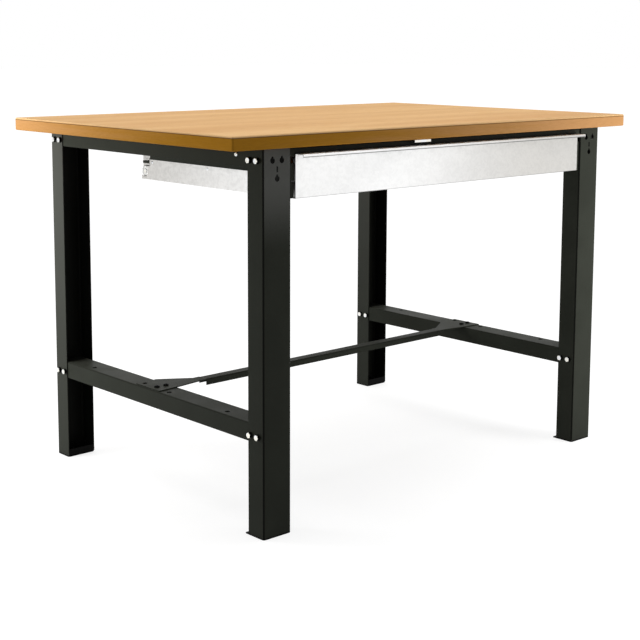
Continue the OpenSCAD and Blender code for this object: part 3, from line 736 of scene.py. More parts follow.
@dataclass
class TopRails:
    """The rails between the legs under the board's long edges, tabs at their ends."""

    half_x: float = 485.0
    front_y: float = -397.0
    depth: float = 40.0
    low_z: float = 800.0
    top_z: float = 820.0
    wall: float = 2.0
    fold: float = 2.5

    def shape(self) -> Shape:
        """Return the front rail."""
        half = self.wall / 2
        near, far, top = self.front_y + half, self.front_y + self.depth - half, self.top_z - half
        line = [(near, self.low_z), (near, top), (far, top), (far, self.low_z)]
        return sheet(line, self.fold, self.wall, Axis.X, -self.half_x, self.half_x)

    def tabs(self) -> list[Shape]:
        """Return the tabs that close the rail's two ends."""
        near, far = self.front_y + self.wall - 0.3, self.front_y + self.depth - self.wall + 0.3
        low, high = self.low_z, self.top_z - self.wall + 0.3
        return [cuboid((x, near, low), (x + self.wall, far, high))
                for x in (-self.half_x, self.half_x - self.wall)]

    def build(self, shop: Workshop) -> None:
        """Make the front and the back rail."""
        for end in End:
            tabs = [tab.mirrored(Side.LEFT, end) for tab in self.tabs()]
            shop.make(f"{end.name.lower()}_long_rail", self.shape().mirrored(Side.LEFT, end),
                      Slot.PAINT, "frame", [f"{end.name.lower()}_top_rail"], fused=tabs)


@dataclass
class Brace:
    """The long folded strip from stretcher to stretcher, its ends flat and flared."""

    top: float = 246.5
    wall: float = 2.5
    half_w: float = 15.0
    drop: float = 15.0
    left: float = -555.0
    right: float = 544.0
    left_edge: float = -498.0
    right_edge: float = 487.0
    flare: float = 72.0
    front: float = 30.0
    neck: float = 25.0
    back: float = 62.0
    fold_start: float = 90.0
    fold_in: float = 3.5
    fold: float = 2.6
    hole_r: float = 6.0
    hole_in: float = 48.0
    hole_x: tuple[float, float] = (-540.0, 529.0)

    def plate(self) -> Shape:
        """Return the flat strip with its flared ends."""
        w, inner = self.half_w, self.half_w - self.fold_in
        left_in, right_in = self.left_edge + self.flare, self.right_edge - self.flare
        left_fold, right_fold = self.left_edge + self.fold_start, self.right_edge - self.fold_start
        outline = [
            (self.left, -self.front), (self.left_edge, -self.neck), (left_in, -w),
            (left_fold, -w), (left_fold, -inner), (right_fold, -inner), (right_fold, -w),
            (right_in, -w), (self.right_edge, -self.neck), (self.right, -self.front),
            (self.right, self.back), (self.right_edge, self.back), (right_in, w),
            (right_fold, w), (right_fold, inner), (left_fold, inner), (left_fold, w),
            (left_in, w), (self.left_edge, self.back), (self.left, self.back)]
        moved = [(x, y + MID_Y) for x, y in outline]
        return prism(moved, Axis.Z, self.top - self.wall, self.top)

    def channel(self) -> Shape:
        """Return the middle length with its two edges folded down."""
        half = self.wall / 2
        side, top, low = self.half_w - half, self.top - half, self.top - self.drop
        line = [(MID_Y - side, low), (MID_Y - side, top), (MID_Y + side, top),
                (MID_Y + side, low)]
        return sheet(line, self.fold, self.wall, Axis.X, self.left_edge + self.fold_start,
                     self.right_edge - self.fold_start)

    def build(self, shop: Workshop) -> None:
        """Make the brace."""
        cuts = Shape()
        for x in self.hole_x:
            cuts.join(rod(Axis.Z, (x, MID_Y + self.hole_in), self.hole_r, self.top - 8,
                          self.top + 5))
        shop.make("low_brace", self.plate(), Slot.PAINT, "frame", ["brace"], cuts,
                  fused=[self.channel()])


# Runners


@dataclass
class Runners:
    """Hanger, bracket, runner and rubber stop on each side, drawn for the left."""

    thick: float = 1.2
    hanger_t: float = 1.5
    web_x: float = -483.5
    low_z: float = 714.0
    top_z: float = 761.0
    start_y: float = -395.0
    web_end_y: float = 103.3
    end_y: float = 135.0
    track_y: float = -362.0
    track_z: float = 720.2
    guard_z: float = 746.0
    inner_x: float = -474.0
    notch: Flat = (125.0, 733.0)
    notch_r: float = 13.7
    notch_arc: Flat = (-43.4, -225.0)
    notch_top: float = 745.0
    hanger_low: float = 748.0
    hanger_end_x: float = -452.3
    hanger_y: float = -345.0
    under: float = 820.0
    tongue_end_y: float = 132.0
    tongue_z: Flat = (751.0, 757.0)
    lug_x: float = -474.2
    lug_y: Flat = (-292.8, -289.8)
    stop_y: float = 112.0
    stop_rings: tuple[Flat, ...] = ((0.0, -480.8), (0.0, -475.0), (0.6, -474.2))
    bracket_x: float = -485.0
    bracket_in_x: float = -474.5
    bracket_y: Flat = (-396.5, -350.5)
    bracket_top: float = 786.0
    gap_x: Flat = (-480.2, -470.0)
    gap_z: Flat = (746.9, 749.9)
    pin: Flat = (-377.0, 735.0)
    pin_hole_r: float = 3.1

    def web(self) -> Shape:
        """Return the runner's web, cut away round the rear roller."""
        cy, cz = self.notch
        r = self.notch_r
        outline: Outline = [(self.start_y, self.low_z), (self.end_y, self.low_z)]
        start, stop = (math.radians(angle) for angle in self.notch_arc)
        for k in range(17):
            angle = start + (stop - start) * k / 16
            outline.append((cy + r * math.cos(angle), cz + r * math.sin(angle)))
        outline += [(cy + r * math.cos(stop), self.notch_top), (self.web_end_y, self.notch_top),
                    (self.web_end_y, self.top_z), (self.start_y, self.top_z)]
        return prism(outline, Axis.X, self.web_x, self.web_x + self.thick)

    def ledge(self, centre_z: float, end_y: float) -> Shape:
        """Return an inward ledge of the runner: the track or the guard."""
        half = self.thick / 2
        return prism([(self.track_y, centre_z - half), (end_y, centre_z - half),
                      (end_y, centre_z + half), (self.track_y, centre_z + half)], Axis.X,
                     self.web_x + half, self.inner_x)

    def hanger(self) -> Shape:
        """Return the hanger's angle: a flange under the board and a web beside the runner."""
        half = self.hanger_t / 2
        x = self.web_x + self.thick + half
        line = [(x, self.hanger_low), (x, self.under - half),
                (self.hanger_end_x, self.under - half)]
        return sheet(line, 2.0, self.hanger_t, Axis.Y, self.hanger_y, self.web_end_y)

    def hanger_extras(self) -> list[Shape]:
        """Return the tongue at the hanger's end and the lug near its front."""
        x = self.web_x + self.thick
        low, high = self.tongue_z
        return [cuboid((x, self.web_end_y - 2, low), (x + self.hanger_t, self.tongue_end_y, high)),
                cuboid((x + 0.5, self.lug_y[0], low), (self.lug_x, self.lug_y[1], high))]

    def bracket(self) -> Shape:
        """Return the bracket between the front leg and the drawer."""
        half = self.hanger_t / 2
        x, y = self.bracket_x + half, self.bracket_y[0] + half
        line = [(self.bracket_in_x, y), (x, y), (x, self.bracket_y[1])]
        return sheet(line, 1.6, self.hanger_t, Axis.Z, self.low_z, self.bracket_top)

    def stop(self) -> Shape:
        """Return the rubber stop on the hanger's tongue."""
        low, high = self.tongue_z
        outline = rounded_rect((self.stop_y, low), (self.tongue_end_y, high), 1.0, 3)
        rings = []
        for inset, x in self.stop_rings:
            scale_y = 1 - 2 * inset / (self.tongue_end_y - self.stop_y)
            scale_z = 1 - 2 * inset / (high - low)
            mid_y, mid_z = (self.stop_y + self.tongue_end_y) / 2, (low + high) / 2
            rings.append([Vector((x, mid_y + (u - mid_y) * scale_y, mid_z + (v - mid_z) * scale_z))
                          for u, v in outline])
        return loft(rings)

    def build(self, shop: Workshop) -> None:
        """Make both sides."""
        gap_x, gap_z, face_y = self.gap_x, self.gap_z, self.bracket_y[0]
        notch = cuboid((gap_x[0], face_y - 2, gap_z[0]), (gap_x[1], face_y + 2.4, gap_z[1]))
        pin_hole = rod(Axis.X, self.pin, self.pin_hole_r, self.web_x - 1, self.web_x + 1.6)
        for side in Side:
            name = side.name.lower()
            shop.make(f"{name}_runner_channel", self.web().mirrored(side), Slot.GALVANISED,
                      "frame", [f"runner_{name}", f"runner_track_{name}", f"runner_guard_{name}"],
                      pin_hole.mirrored(side),
                      fused=[self.ledge(self.track_z - self.thick / 2, self.end_y).mirrored(side),
                             self.ledge(self.guard_z + self.thick / 2,
                                        self.web_end_y).mirrored(side)], soft=0.2)
            shop.make(f"{name}_hanger_strip", self.hanger().mirrored(side), Slot.PAINT, "frame",
                      [f"hanger_{name}"],
                      fused=[part.mirrored(side) for part in self.hanger_extras()], soft=0.25)
            shop.make(f"{name}_gap_bracket", self.bracket().mirrored(side), Slot.PAINT, "frame",
                      [f"front_bracket_{name}"], notch.mirrored(side), soft=0.25)
            shop.make(f"{name}_rubber_stop", self.stop().mirrored(side), Slot.RUBBER, "frame",
                      [f"stop_{name}"], soft=0.0)


@dataclass
class Rollers:
    """Nylon rollers with thin dark rims as painted shade round them, and riveted pins: two on the
    runners, two on the drawer.
    """

    radius: float = 12.5
    width: float = 7.0
    bore: float = 3.05
    hub: float = 5.4
    edge: float = 0.8
    rim: float = 1.6
    tyre_t: float = 1.3
    outer_x: float = -480.3
    pin_r: float = 3.0
    head_r: float = 5.0
    front: Flat = (-377.0, 735.0)
    rear: Flat = (125.0, 733.0)
    runner_x: float = -483.5
    rail_x: float = -470.0
    front_pin: tuple[Flat, Flat] = ((1.2, 2.9), (10.4, 11.1))
    rear_pin: tuple[Flat, Flat] = ((1.2, 3.0), (10.6, 11.3))

    def wheel(self) -> Shape:
        """Return a roller's core with its recessed sides, its axis along z from 0."""
        out = self.radius - self.tyre_t
        half = [(self.bore, 0.0), (self.hub, 0.0), (self.hub + 0.4, self.edge),
                (out - self.rim - 0.4, self.edge), (out - self.rim, 0.0), (out + 0.05, 0.0)]
        far = [(r, self.width - z) for r, z in reversed(half)]
        return turned(half + far, steps=48, ring=True)

    def tyre(self) -> Shape:
        """Return the thin dark rim round the core, painted shade that outlines the roller."""
        inner = self.radius - self.tyre_t
        half = [(inner, 0.1), (self.radius - self.edge, 0.0), (self.radius - 0.25, 0.25),
                (self.radius, self.edge)]
        far = [(r, self.width - z) for r, z in reversed(half)]
        return turned(half + far, steps=48, ring=True)

    def pin(self, collar: Flat, head: Flat) -> Shape:
        """Return a riveted pin, its foot at 0.

        Args:
            collar: Where its collar starts and ends.
            head: Where its head starts and ends.

        Returns:
            The pin.
        """
        r, big = self.pin_r, self.head_r
        top = head[1]
        profile = [(0, 0.0), (r - 0.4, 0.0), (r, 0.3), (r, collar[0]), (big - 0.2, collar[0]),
                   (big, collar[0] + 0.2), (big, collar[1] - 0.2), (big - 0.2, collar[1]),
                   (r, collar[1]), (r, head[0]), (big - 0.2, head[0]), (big, head[0] + 0.2),
                   (big, top - 0.3), (big - 0.4, top), (1.4, top), (1.0, top - 0.25),
                   (0, top - 0.25)]
        return turned(profile, steps=32)

    def build(self, shop: Workshop) -> None:
        """Make four rollers and four pins."""
        inwards, outwards = Vector((1, 0, 0)), Vector((-1, 0, 0))
        front_pin = stood(self.pin(*self.front_pin), Vector((self.runner_x, *self.front)),
                          inwards)
        rear_pin = stood(self.pin(*self.rear_pin), Vector((self.rail_x, *self.rear)), outwards)
        for side in Side:
            name = side.name.lower()
            for place, spot_yz, pin, body in (("front", self.front, front_pin, "frame"),
                                              ("rear", self.rear, rear_pin, "drawer")):
                # each roller has a white core and a dark rim that stands in for the shade round it
                for word, part, slot in (("wheel", self.wheel(), Slot.NYLON),
                                         ("tyre", self.tyre(), Slot.RUBBER)):
                    shape = stood(part, Vector((self.outer_x, *spot_yz)), inwards)
                    shop.make(f"{place}_{name}_{word}", shape.mirrored(side), slot,
                              f"{place}_wheel_{name}", [f"{place}_roller_{name}"], soft=0.0)
                shop.make(f"{place}_{name}_axle", pin.mirrored(side), Slot.ZINC, body,
                          [f"{place}_pin_{name}"], soft=0.0)


# Drawer


@dataclass
class Drawer:
    """The wide drawer of galvanised sheet, with the rails riveted to its sides."""

    sheet_t: float = 1.0
    front_x: float = 473.0
    front_y: float = -400.0
    low_z: float = 713.0
    pull_z: float = 806.0
    pull_out: float = 25.0
    pull_h: float = 6.5
    fold_d: float = 9.0
    side_x: float = 470.0
    inner_x: float = 468.8
    back_y: float = 148.0
    side_low: float = 714.0
    side_top: float = 785.0
    rail_t: float = 1.2
    rail_y: float = -390.0
    rail_end_y: float = 144.0
    ear_y: float = 111.7
    ear_z: Flat = (748.0, 763.0)
    fold_top: float = 799.5
    hem_x: Flat = (-463.0, -456.0)
    flange_x: float = -469.6
    floor_top: float = 716.0
    rail_x: float = -471.2
    lip_x: float = -479.3
    lip_z: float = 747.8
    tail_low: float = 748.3
    rail_top: float = 760.8
    tab: tuple[Flat, Flat] = ((107.0, 722.0), (143.0, 752.0))

    def front(self) -> Shape:
        """Return the front with its folded pull."""
        half = self.sheet_t / 2
        skin, pull = self.front_y + half, self.front_y - self.pull_out + half
        line = [(self.front_y + self.fold_d, self.low_z + half), (skin, self.low_z + half),
                (skin, self.pull_z - half), (pull, self.pull_z - half),
                (pull, self.pull_z - self.pull_h)]
        return sheet(line, 1.4, self.sheet_t, Axis.X, -self.front_x, self.front_x)

    def side_folds(self) -> list[Shape]:
        """Return the folds behind the front's two ends."""
        return [cuboid((min(x, x - s * self.sheet_t), self.front_y + 0.4, self.low_z + 0.5),
                       (max(x, x - s * self.sheet_t), self.front_y + self.fold_d, self.fold_top))
                for s in (-1, 1) for x in (s * self.front_x,)]

    def side(self) -> Shape:
        """Return the left side with its top and bottom hems."""
        half = self.sheet_t / 2
        out, top, low = -self.side_x + half, self.side_top - half, self.side_low + half
        line = [(self.hem_x[0], top), (out, top), (out, low), (self.hem_x[1], low)]
        return sheet(line, 1.2, self.sheet_t, Axis.Y, self.front_y + 1, self.back_y)

    def side_flange(self) -> Shape:
        """Return the flange that meets the drawer's front."""
        return cuboid((self.flange_x, self.front_y + 1, self.floor_top),
                      (self.hem_x[1], self.front_y + 2, self.side_top - 1))

    def back(self) -> Shape:
        """Return the back with its hem."""
        half = self.sheet_t / 2
        y, top = self.back_y - half, self.side_top - 1 - half
        line = [(self.back_y - 8, top), (y, top), (y, self.floor_top)]
        return sheet(line, 1.2, self.sheet_t, Axis.X, -self.inner_x, self.inner_x)

    def bottom(self) -> Shape:
        """Return the flat bottom."""
        rows: list[list[Vector]] = []
        low, top = self.floor_top - self.sheet_t, self.floor_top
        outline = [(-self.inner_x, low), (self.inner_x, low), (self.inner_x, top),
                   (-self.inner_x, top)]
        for y in (self.front_y + 2, self.back_y):
            rows.append([Vector((x, y, z)) for x, z in outline])
        return loft(rows)

    def rail(self) -> Shape:
        """Return the left rail: a web on the drawer's side and a lip that runs on the roller."""
        half = self.rail_t / 2
        web, lip = self.rail_x + half, self.lip_z + half
        line = [(self.lip_x, lip), (web, lip), (web, self.rail_top)]
        return sheet(line, 1.2, self.rail_t, Axis.Y, self.rail_y, self.ear_y)

    def rail_extras(self) -> list[Shape]:
        """Return the rail's tail, its ear and the tab that carries the rear roller."""
        out, side, ear_z = self.rail_x, -self.side_x, self.ear_z
        return [cuboid((out, self.ear_y - 3, self.tail_low),
                       (side, self.rail_end_y, self.rail_top)),
                cuboid((self.lip_x, self.ear_y - self.rail_t, ear_z[0]),
                       (out + 0.4, self.ear_y, ear_z[1])),
                prism(rounded_rect(*self.tab, 3.0, 4), Axis.X, out, side)]

    def build(self, shop: Workshop) -> None:
        """Make the drawer's shell and its rails."""
        shop.make("drawer_face", self.front(), Slot.GALVANISED, "drawer", ["drawer_front"],
                  fused=self.side_folds(), soft=0.2)
        shop.make("drawer_rear_wall", self.back(), Slot.GALVANISED, "drawer", ["drawer_back"],
                  soft=0.2)
        shop.make("drawer_floor", self.bottom(), Slot.GALVANISED, "drawer", ["drawer_bottom"],
                  soft=0.2)
        for side in Side:
            name = side.name.lower()
            shop.make(f"drawer_{name}_wall", self.side().mirrored(side), Slot.GALVANISED,
                      "drawer", [f"drawer_side_{name}"],
                      fused=[self.side_flange().mirrored(side)], soft=0.2)
            shop.make(f"drawer_{name}_slide", self.rail().mirrored(side), Slot.GALVANISED,
                      "drawer", [f"drawer_rail_{name}", f"drawer_rail_tab_{name}"],
                      fused=[part.mirrored(side) for part in self.rail_extras()], soft=0.2)


@dataclass
class Clip:
    """The bright clip under the board's front edge."""

    left: float = -131.0
    right: float = -79.0
    front_y: float = -411.0
    back_y: float = -397.3
    low_z: float = 813.2
    top_z: float = 820.0
    thick: float = 1.5

    def build(self, shop: Workshop) -> None:
        """Make the clip."""
        half = self.thick / 2
        line = [(self.front_y + half, self.low_z), (self.front_y + half, self.top_z - half),
                (self.back_y, self.top_z - half)]
        shape = sheet(line, 1.6, self.thick, Axis.X, self.left, self.right)
        shop.make("edge_clip", shape, Slot.ZINC, "frame", ["board_clip"], soft=0.3)


# Fasteners


@dataclass
class Fasteners:
    """Bolts, nuts, screws, washers and rivets, each set one piece."""

    leg_x: float = 560.0
    leg_in_x: float = 485.0
    bolt_r: float = 3.0
    across: float = 11.0
    flange_r: float = 7.0
    flange_t: float = 1.5
    head_h: float = 7.0
    cap_h: float = 1.6
    nut_h: float = 6.0
    joint_y: tuple[float, ...] = (-382.5, -357.5, 367.5, 392.5)
    upper_z: float = 795.0
    lower_z: float = 219.0
    rail_bolt_z: float = 810.0
    rail_bolt_y: tuple[float, ...] = (-387.5, -366.5, 376.5, 397.5)
    brace_x: tuple[float, ...] = (-540.0, -515.0, 504.0, 529.0)
    brace_top: float = 246.5
    brace_under: float = 242.0
    bracket_screw_z: tuple[float, ...] = (725.0, 775.0)
    bracket_screw_y: float = -370.0
    runner_rivet_y: tuple[float, ...] = (-325.0, -115.85, 93.3)
    runner_rivet_z: float = 754.5
    bracket_rivet_y: float = -356.5
    bracket_rivet_z: tuple[float, ...] = (733.0, 754.5)
    drawer_rivet_y: tuple[float, ...] = (-370.0, -216.5, -63.0, 90.5)
    drawer_rivet_z: float = 754.9
    walls: float = 4.0
    leg_inside_x: float = 487.0
    beam_x: float = 558.0
    runner_x: float = 483.5
    drawer_rail_x: float = 471.2
    rivet_r: float = 1.6
    rivet_head_r: float = 3.5
    side_screw: Flat = (-311.0, 804.0)
    end_screw_x: float = 516.0
    end_screw_y: tuple[float, ...] = (-260.0, -48.0, 48.0, 260.0)
    end_screw_z: float = 816.5
    long_screw_x: tuple[float, ...] = (-300.0, 0.0, 300.0)
    long_screw_y: Flat = (-377.0, 387.0)
    long_screw_z: float = 818.0
    hanger_screw_x: float = 466.55
    hanger_screw_y: tuple[float, ...] = (-315.0, -115.85, 83.3)
    hanger_screw_z: float = 818.5
    clip_screw: tuple[float, float, float] = (-105.0, -403.25, 818.5)
    brace_screw: tuple[float, ...] = (6.5, 4.0, 4.0, 11.5, 2.4)
    bracket_screw: tuple[float, ...] = (5.5, 3.0, 2.0, 3.5, 2.0)
    small_screw: tuple[float, ...] = (4.5, 2.0, 2.0, 8.0, 1.7)
    board_screw: tuple[float, ...] = (5.5, 3.0, 2.0, 18.0)
    ring: tuple[float, ...] = (10.0, 2.4, 1.5)
    brace_nut: float = 13.0
    runner_rivet: Flat = (1.0, 2.7)
    bracket_rivet: Flat = (0.0, 2.7)
    drawer_rivet: Flat = (0.7, 2.2)
    chance: random.Random = field(default_factory=lambda: random.Random(7))

    def thread(self, radius: float, top: float, low: float, turns: int) -> list[Flat]:
        """Return a profile of fine ridges down a shank, for its visible tail."""
        step = (top - low) / (2 * turns)
        return [(radius - (0.35 if k % 2 else 0.0), low + k * step) for k in range(2 * turns + 1)]

    def bolt(self, reach: float, tail: float = 5.0) -> list[Shape]:
        """Return a bolt with a flanged hexagon head, as its body and its bright cap.

        Args:
            reach: Length of its shank.
            tail: How much of the shank's end shows its thread.

        Returns:
            The bolt's two shapes, seated at 0, its head towards +Z.
        """
        head = hexagon(self.across)
        crown = self.across / 2 * 0.98
        seam = self.head_h - self.cap_h

        def chamfer(angle: float) -> float:
            return self.head_h - max(0.0, head(angle) - crown) * 0.7
        r = self.bolt_r
        profile: list[tuple[Amount, Amount]] = [(0, -reach), (r - 0.6, -reach)]
        profile += [(rad, z) for rad, z in self.thread(r, -reach + tail, -reach + 0.4, 5)]
        profile += [(r, 0.0), (self.flange_r - 0.15, 0.0), (self.flange_r, 0.25),
                    (self.flange_r, 0.6), (self.flange_r - 0.35, 0.95),
                    (lambda a: head(a) + 0.15, self.flange_t), (head, self.flange_t + 0.3),
                    (head, seam), (0, seam)]
        cap: list[tuple[Amount, Amount]] = [
            (0, seam - 0.2), (crown - 0.3, seam - 0.2), (crown - 0.3, seam + 0.1),
            (head, seam + 0.2), (head, chamfer), (crown - 0.1, self.head_h),
            (2.6, self.head_h), (2.2, self.head_h - 0.3), (0, self.head_h - 0.3)]
        return [turned(profile), turned(cap)]

    def nut(self, across: float, height: float, flanged: bool) -> Shape:
        """Return a nut, seated at 0 and its body towards +Z."""
        body = hexagon(across)
        crown = across / 2 * 0.99
        bore = self.bolt_r + 0.05 if flanged else 4.05

        def chamfer(angle: float) -> float:
            return height - max(0.0, body(angle) - crown) * 0.7
        foot: list[tuple[Amount, Amount]]
        if flanged:
            foot = [(self.flange_r - 0.2, 0.0), (self.flange_r, 0.3), (self.flange_r, 0.6),
                    (lambda a: body(a) + 0.2, self.flange_t), (body, self.flange_t + 0.3)]
        else:
            foot = [(crown - 0.3, 0.0), (body, lambda a: max(0.0, body(a) - crown) * 0.7)]
        return turned([(bore, 0.0), *foot, (body, chamfer), (crown - 0.1, height),
                       (bore + 0.7, height), (bore, height - 0.5)], ring=True)

    def dome_screw(self, radius: float, height: float, shank: float, reach: float,
                   recess: float) -> Shape:
        """Return a screw with a low domed head and a six-lobed recess.

        Args:
            radius: Radius of its head.
            height: Height of its head.
            shank: Radius of its shank.
            reach: Length of its shank.
            recess: Mean radius of the recess.

        Returns:
            The screw, seated at 0, its head towards +Z.
        """
        key = lobes(recess, recess * 0.14)
        profile: list[tuple[Amount, Amount]] = [(0, -reach), (shank - 0.5, -reach)]
        profile += [(rad, z) for rad, z in self.thread(shank, -reach + min(5.0, reach - 0.6),
                                                       -reach + 0.5, 5)]
        profile += [(shank, 0.0), (radius - 0.2, 0.0), (radius, 0.3)]
        rim = height * 0.35
        for k in range(4):
            share = k / 4
            profile.append((radius - (radius - recess * 1.5) * share ** 1.4 * 0.9,
                            rim + (height - rim) * math.sin(share * math.pi / 2)))
        profile += [(recess * 1.4, height), (key, height - 0.1),
                    (lambda a: key(a) * 0.92, height * 0.35), (0, height * 0.3)]
        return turned(profile)

    def flat_screw(self, radius: float, height: float, shank: float, bite: float) -> Shape:
        """Return a wood screw that points to +Z, its head under the seat at 0."""
        key = lobes(radius * 0.36, radius * 0.05)
        return turned([(0, -height * 0.55), (lambda a: key(a) * 0.9, -height * 0.55),
                       (key, -height + 0.1), (radius * 0.5, -height), (radius - 0.9, -height),
                       (radius - 0.2, -height * 0.75), (radius, -height * 0.4), (radius, -0.2),
                       (radius - 0.2, 0.0), (shank, 0.0), (shank, bite - 3), (0.3, bite),
                       (0, bite)])

    def washer(self, outer: float, inner: float, thick: float) -> Shape:
        """Return a flat washer from 0 up."""
        soft = 0.25
        return turned([(inner, 0.0), (outer - soft, 0.0), (outer, soft), (outer, thick - soft),
                       (outer - soft, thick), (inner, thick)], ring=True)

    def rivet(self, low_head: float, reach: float) -> Shape:
        """Return a rivet along +Z.

        Args:
            low_head: Height of the domed head below 0, or 0 for a flush one.
            reach: Thickness of the sheets it holds.

        Returns:
            The rivet.
        """
        r, head = self.rivet_r, self.rivet_head_r
        profile: list[tuple[Amount, Amount]] = []
        if low_head > 0:
            profile = [(0, -low_head), (head * 0.45, -low_head * 0.92),
                       (head * 0.8, -low_head * 0.62), (head, -low_head * 0.15), (head, 0.0)]
        else:
            profile = [(0, 0.02), (r, 0.02)]
        profile += [(r, 0.0), (r, reach), (head - 0.1, reach), (head, reach + 0.2),
                    (head - 0.8, reach + 0.65), (0, reach + 0.7)]
        return turned(profile, steps=24)

    def sets_of(self, shapes: Sequence[Shape],
                spots: Iterable[tuple[Sequence[float], Sequence[float]]]) -> list[Shape]:
        """Stand one fastener of several shapes at each spot, each turned its own way.

        Args:
            shapes: The fastener's shapes, which turn as one.
            spots: Where each stands and which way it faces.

        Returns:
            For each of the shapes, all of them as one.
        """
        out = [Shape() for _ in shapes]
        for place, facing in spots:
            turn = self.chance.uniform(0, 2 * math.pi)
            for whole, shape in zip(out, shapes):
                whole.join(stood(shape, Vector(place), Vector(facing), turn))
        return out

    def set_of(self, shape: Shape, spots: Iterable[tuple[Sequence[float], Sequence[float]]]
               ) -> Shape:
        """Return one fastener at each spot, each turned its own way, as one shape."""
        return self.sets_of([shape], spots)[0]

    def joints(self) -> list[tuple[Vector, Vector]]:
        """Return each frame joint's outer face and the way its bolt's head looks."""
        left, right = Vector((-1, 0, 0)), Vector((1, 0, 0))
        out: list[tuple[Vector, Vector]] = []
        for y in self.joint_y:
            out += [(Vector((-self.leg_x, y, self.upper_z)), left),
                    (Vector((self.leg_x, y, self.upper_z)), right),
                    (Vector((-self.leg_x, y, self.lower_z)), left),
                    (Vector((self.leg_in_x, y, self.lower_z)), left)]
        return out

    def on_sides(self, x: float, spots: Iterable[Flat]) -> list[tuple[Vector, Vector]]:
        """Return spots at a distance left and right of the middle, each facing outwards."""
        return [(Vector((s * x, y, z)), Vector((s, 0, 0))) for s in (-1, 1) for y, z in spots]

    def behind(self, joints: Iterable[tuple[Vector, Vector]]) -> list[tuple[Vector, Vector]]:
        """Return the seats of the nuts behind the two walls that bolts hold."""
        return [(place - facing * self.walls, -facing) for place, facing in joints]

    def board_spots(self) -> list[tuple[Vector, Vector]]:
        """Return the seat of each wood screw, all pointing up."""
        seats = [(s * self.end_screw_x, MID_Y + y, self.end_screw_z)
                 for s in (-1, 1) for y in self.end_screw_y]
        seats += [(x, y, self.long_screw_z) for y in self.long_screw_y for x in self.long_screw_x]
        seats += [(s * self.hanger_screw_x, y, self.hanger_screw_z)
                  for s in (-1, 1) for y in self.hanger_screw_y]
        return [(Vector(seat), Vector((0, 0, 1))) for seat in (*seats, self.clip_screw)]

    def put(self, shop: Workshop, name: str, shape: Shape, slot: Slot, node: str,
            body: str = "frame") -> None:
        """Make one set of fasteners, its edges as they are drawn."""
        shop.make(name, shape, slot, body, [node], soft=0.0)

    def build(self, shop: Workshop) -> None:
        """Make every set of fasteners."""
        zinc, black = Slot.ZINC, Slot.BLACK
        joints = self.joints()
        rail_joints = self.on_sides(self.leg_inside_x,
                                    [(y, self.rail_bolt_z) for y in self.rail_bolt_y])
        bolt = self.bolt(self.walls + self.nut_h + 1.0)
        nut = self.nut(self.across, self.nut_h, True)
        bodies, caps = self.sets_of(bolt, joints)
        # painted shade: the bolts' bodies, flanges and head sides are black round the bright zinc
        # caps
        self.put(shop, "corner_bolts", bodies, black, "joint_bolts")
        self.put(shop, "corner_bolt_caps", caps, zinc, "joint_bolts")
        self.put(shop, "corner_nuts", self.set_of(nut, self.behind(joints)), zinc, "joint_nuts")
        bodies, caps = self.sets_of(bolt, rail_joints)
        self.put(shop, "rail_bolts", bodies.join(caps), black, "top_rail_bolts")
        # painted shade: the rail nuts, seen in the gap under the board, are black
        self.put(shop, "rail_nuts", self.set_of(nut, self.behind(rail_joints)), black,
                 "top_rail_nuts")
        up, down = Vector((0, 0, 1)), Vector((0, 0, -1))
        heads = [(Vector((x, MID_Y, self.brace_top)), up) for x in self.brace_x]
        under = [(Vector((x, MID_Y, self.brace_under)), down) for x in self.brace_x]
        spots = self.on_sides(self.leg_inside_x,
                              [(self.bracket_screw_y, z) for z in self.bracket_screw_z])
        side = self.on_sides(self.beam_x, [self.side_screw])
        seats = self.board_spots()
        rings = seats[:2 * len(self.end_screw_y)]
        hex_nut = self.nut(self.brace_nut, self.nut_h, False)
        for name, shape, places, slot, node in (
                ("brace_fixings", self.dome_screw(*self.brace_screw), heads, black,
                 "brace_screws"),
                ("brace_hex_nuts", hex_nut, under, zinc, "brace_nuts"),
                ("bracket_fixings", self.dome_screw(*self.bracket_screw), spots, black,
                 "bracket_screws"),
                ("rail_small_screws", self.dome_screw(*self.small_screw), side, zinc,
                 "rail_side_screws"),
                ("board_fixings", self.flat_screw(*self.board_screw), seats, zinc,
                 "board_screws"),
                ("board_rings", self.washer(*self.ring), rings, zinc, "board_washers")):
            self.put(shop, name, self.set_of(shape, places), slot, node)
        self.rivets(shop)

    def rivets(self, shop: Workshop) -> None:
        """Make the rivets of the runners, of the brackets and of the drawer's rails."""
        runner, bracket, drawer = Shape(), Shape(), Shape()
        for s in (-1, 1):
            for whole, rivet, x, spots in (
                    (runner, self.rivet(*self.runner_rivet), self.runner_x,
                     [(y, self.runner_rivet_z) for y in self.runner_rivet_y]),
                    (bracket, self.rivet(*self.bracket_rivet), self.leg_in_x,
                     [(self.bracket_rivet_y, z) for z in self.bracket_rivet_z]),
                    (drawer, self.rivet(*self.drawer_rivet), self.drawer_rail_x,
                     [(y, self.drawer_rivet_z) for y in self.drawer_rivet_y])):
                whole.join(self.set_of(rivet, [(Vector((s * x, y, z)), Vector((-s, 0, 0)))
                                               for y, z in spots]))
        self.put(shop, "runner_studs", runner, Slot.ZINC, "runner_rivets")
        # painted shade: the bracket rivets beside the drawer are black
        self.put(shop, "bracket_studs", bracket, Slot.BLACK, "runner_rivets")
        self.put(shop, "drawer_studs", drawer, Slot.ZINC, "drawer_rivets", "drawer")


# Finishes


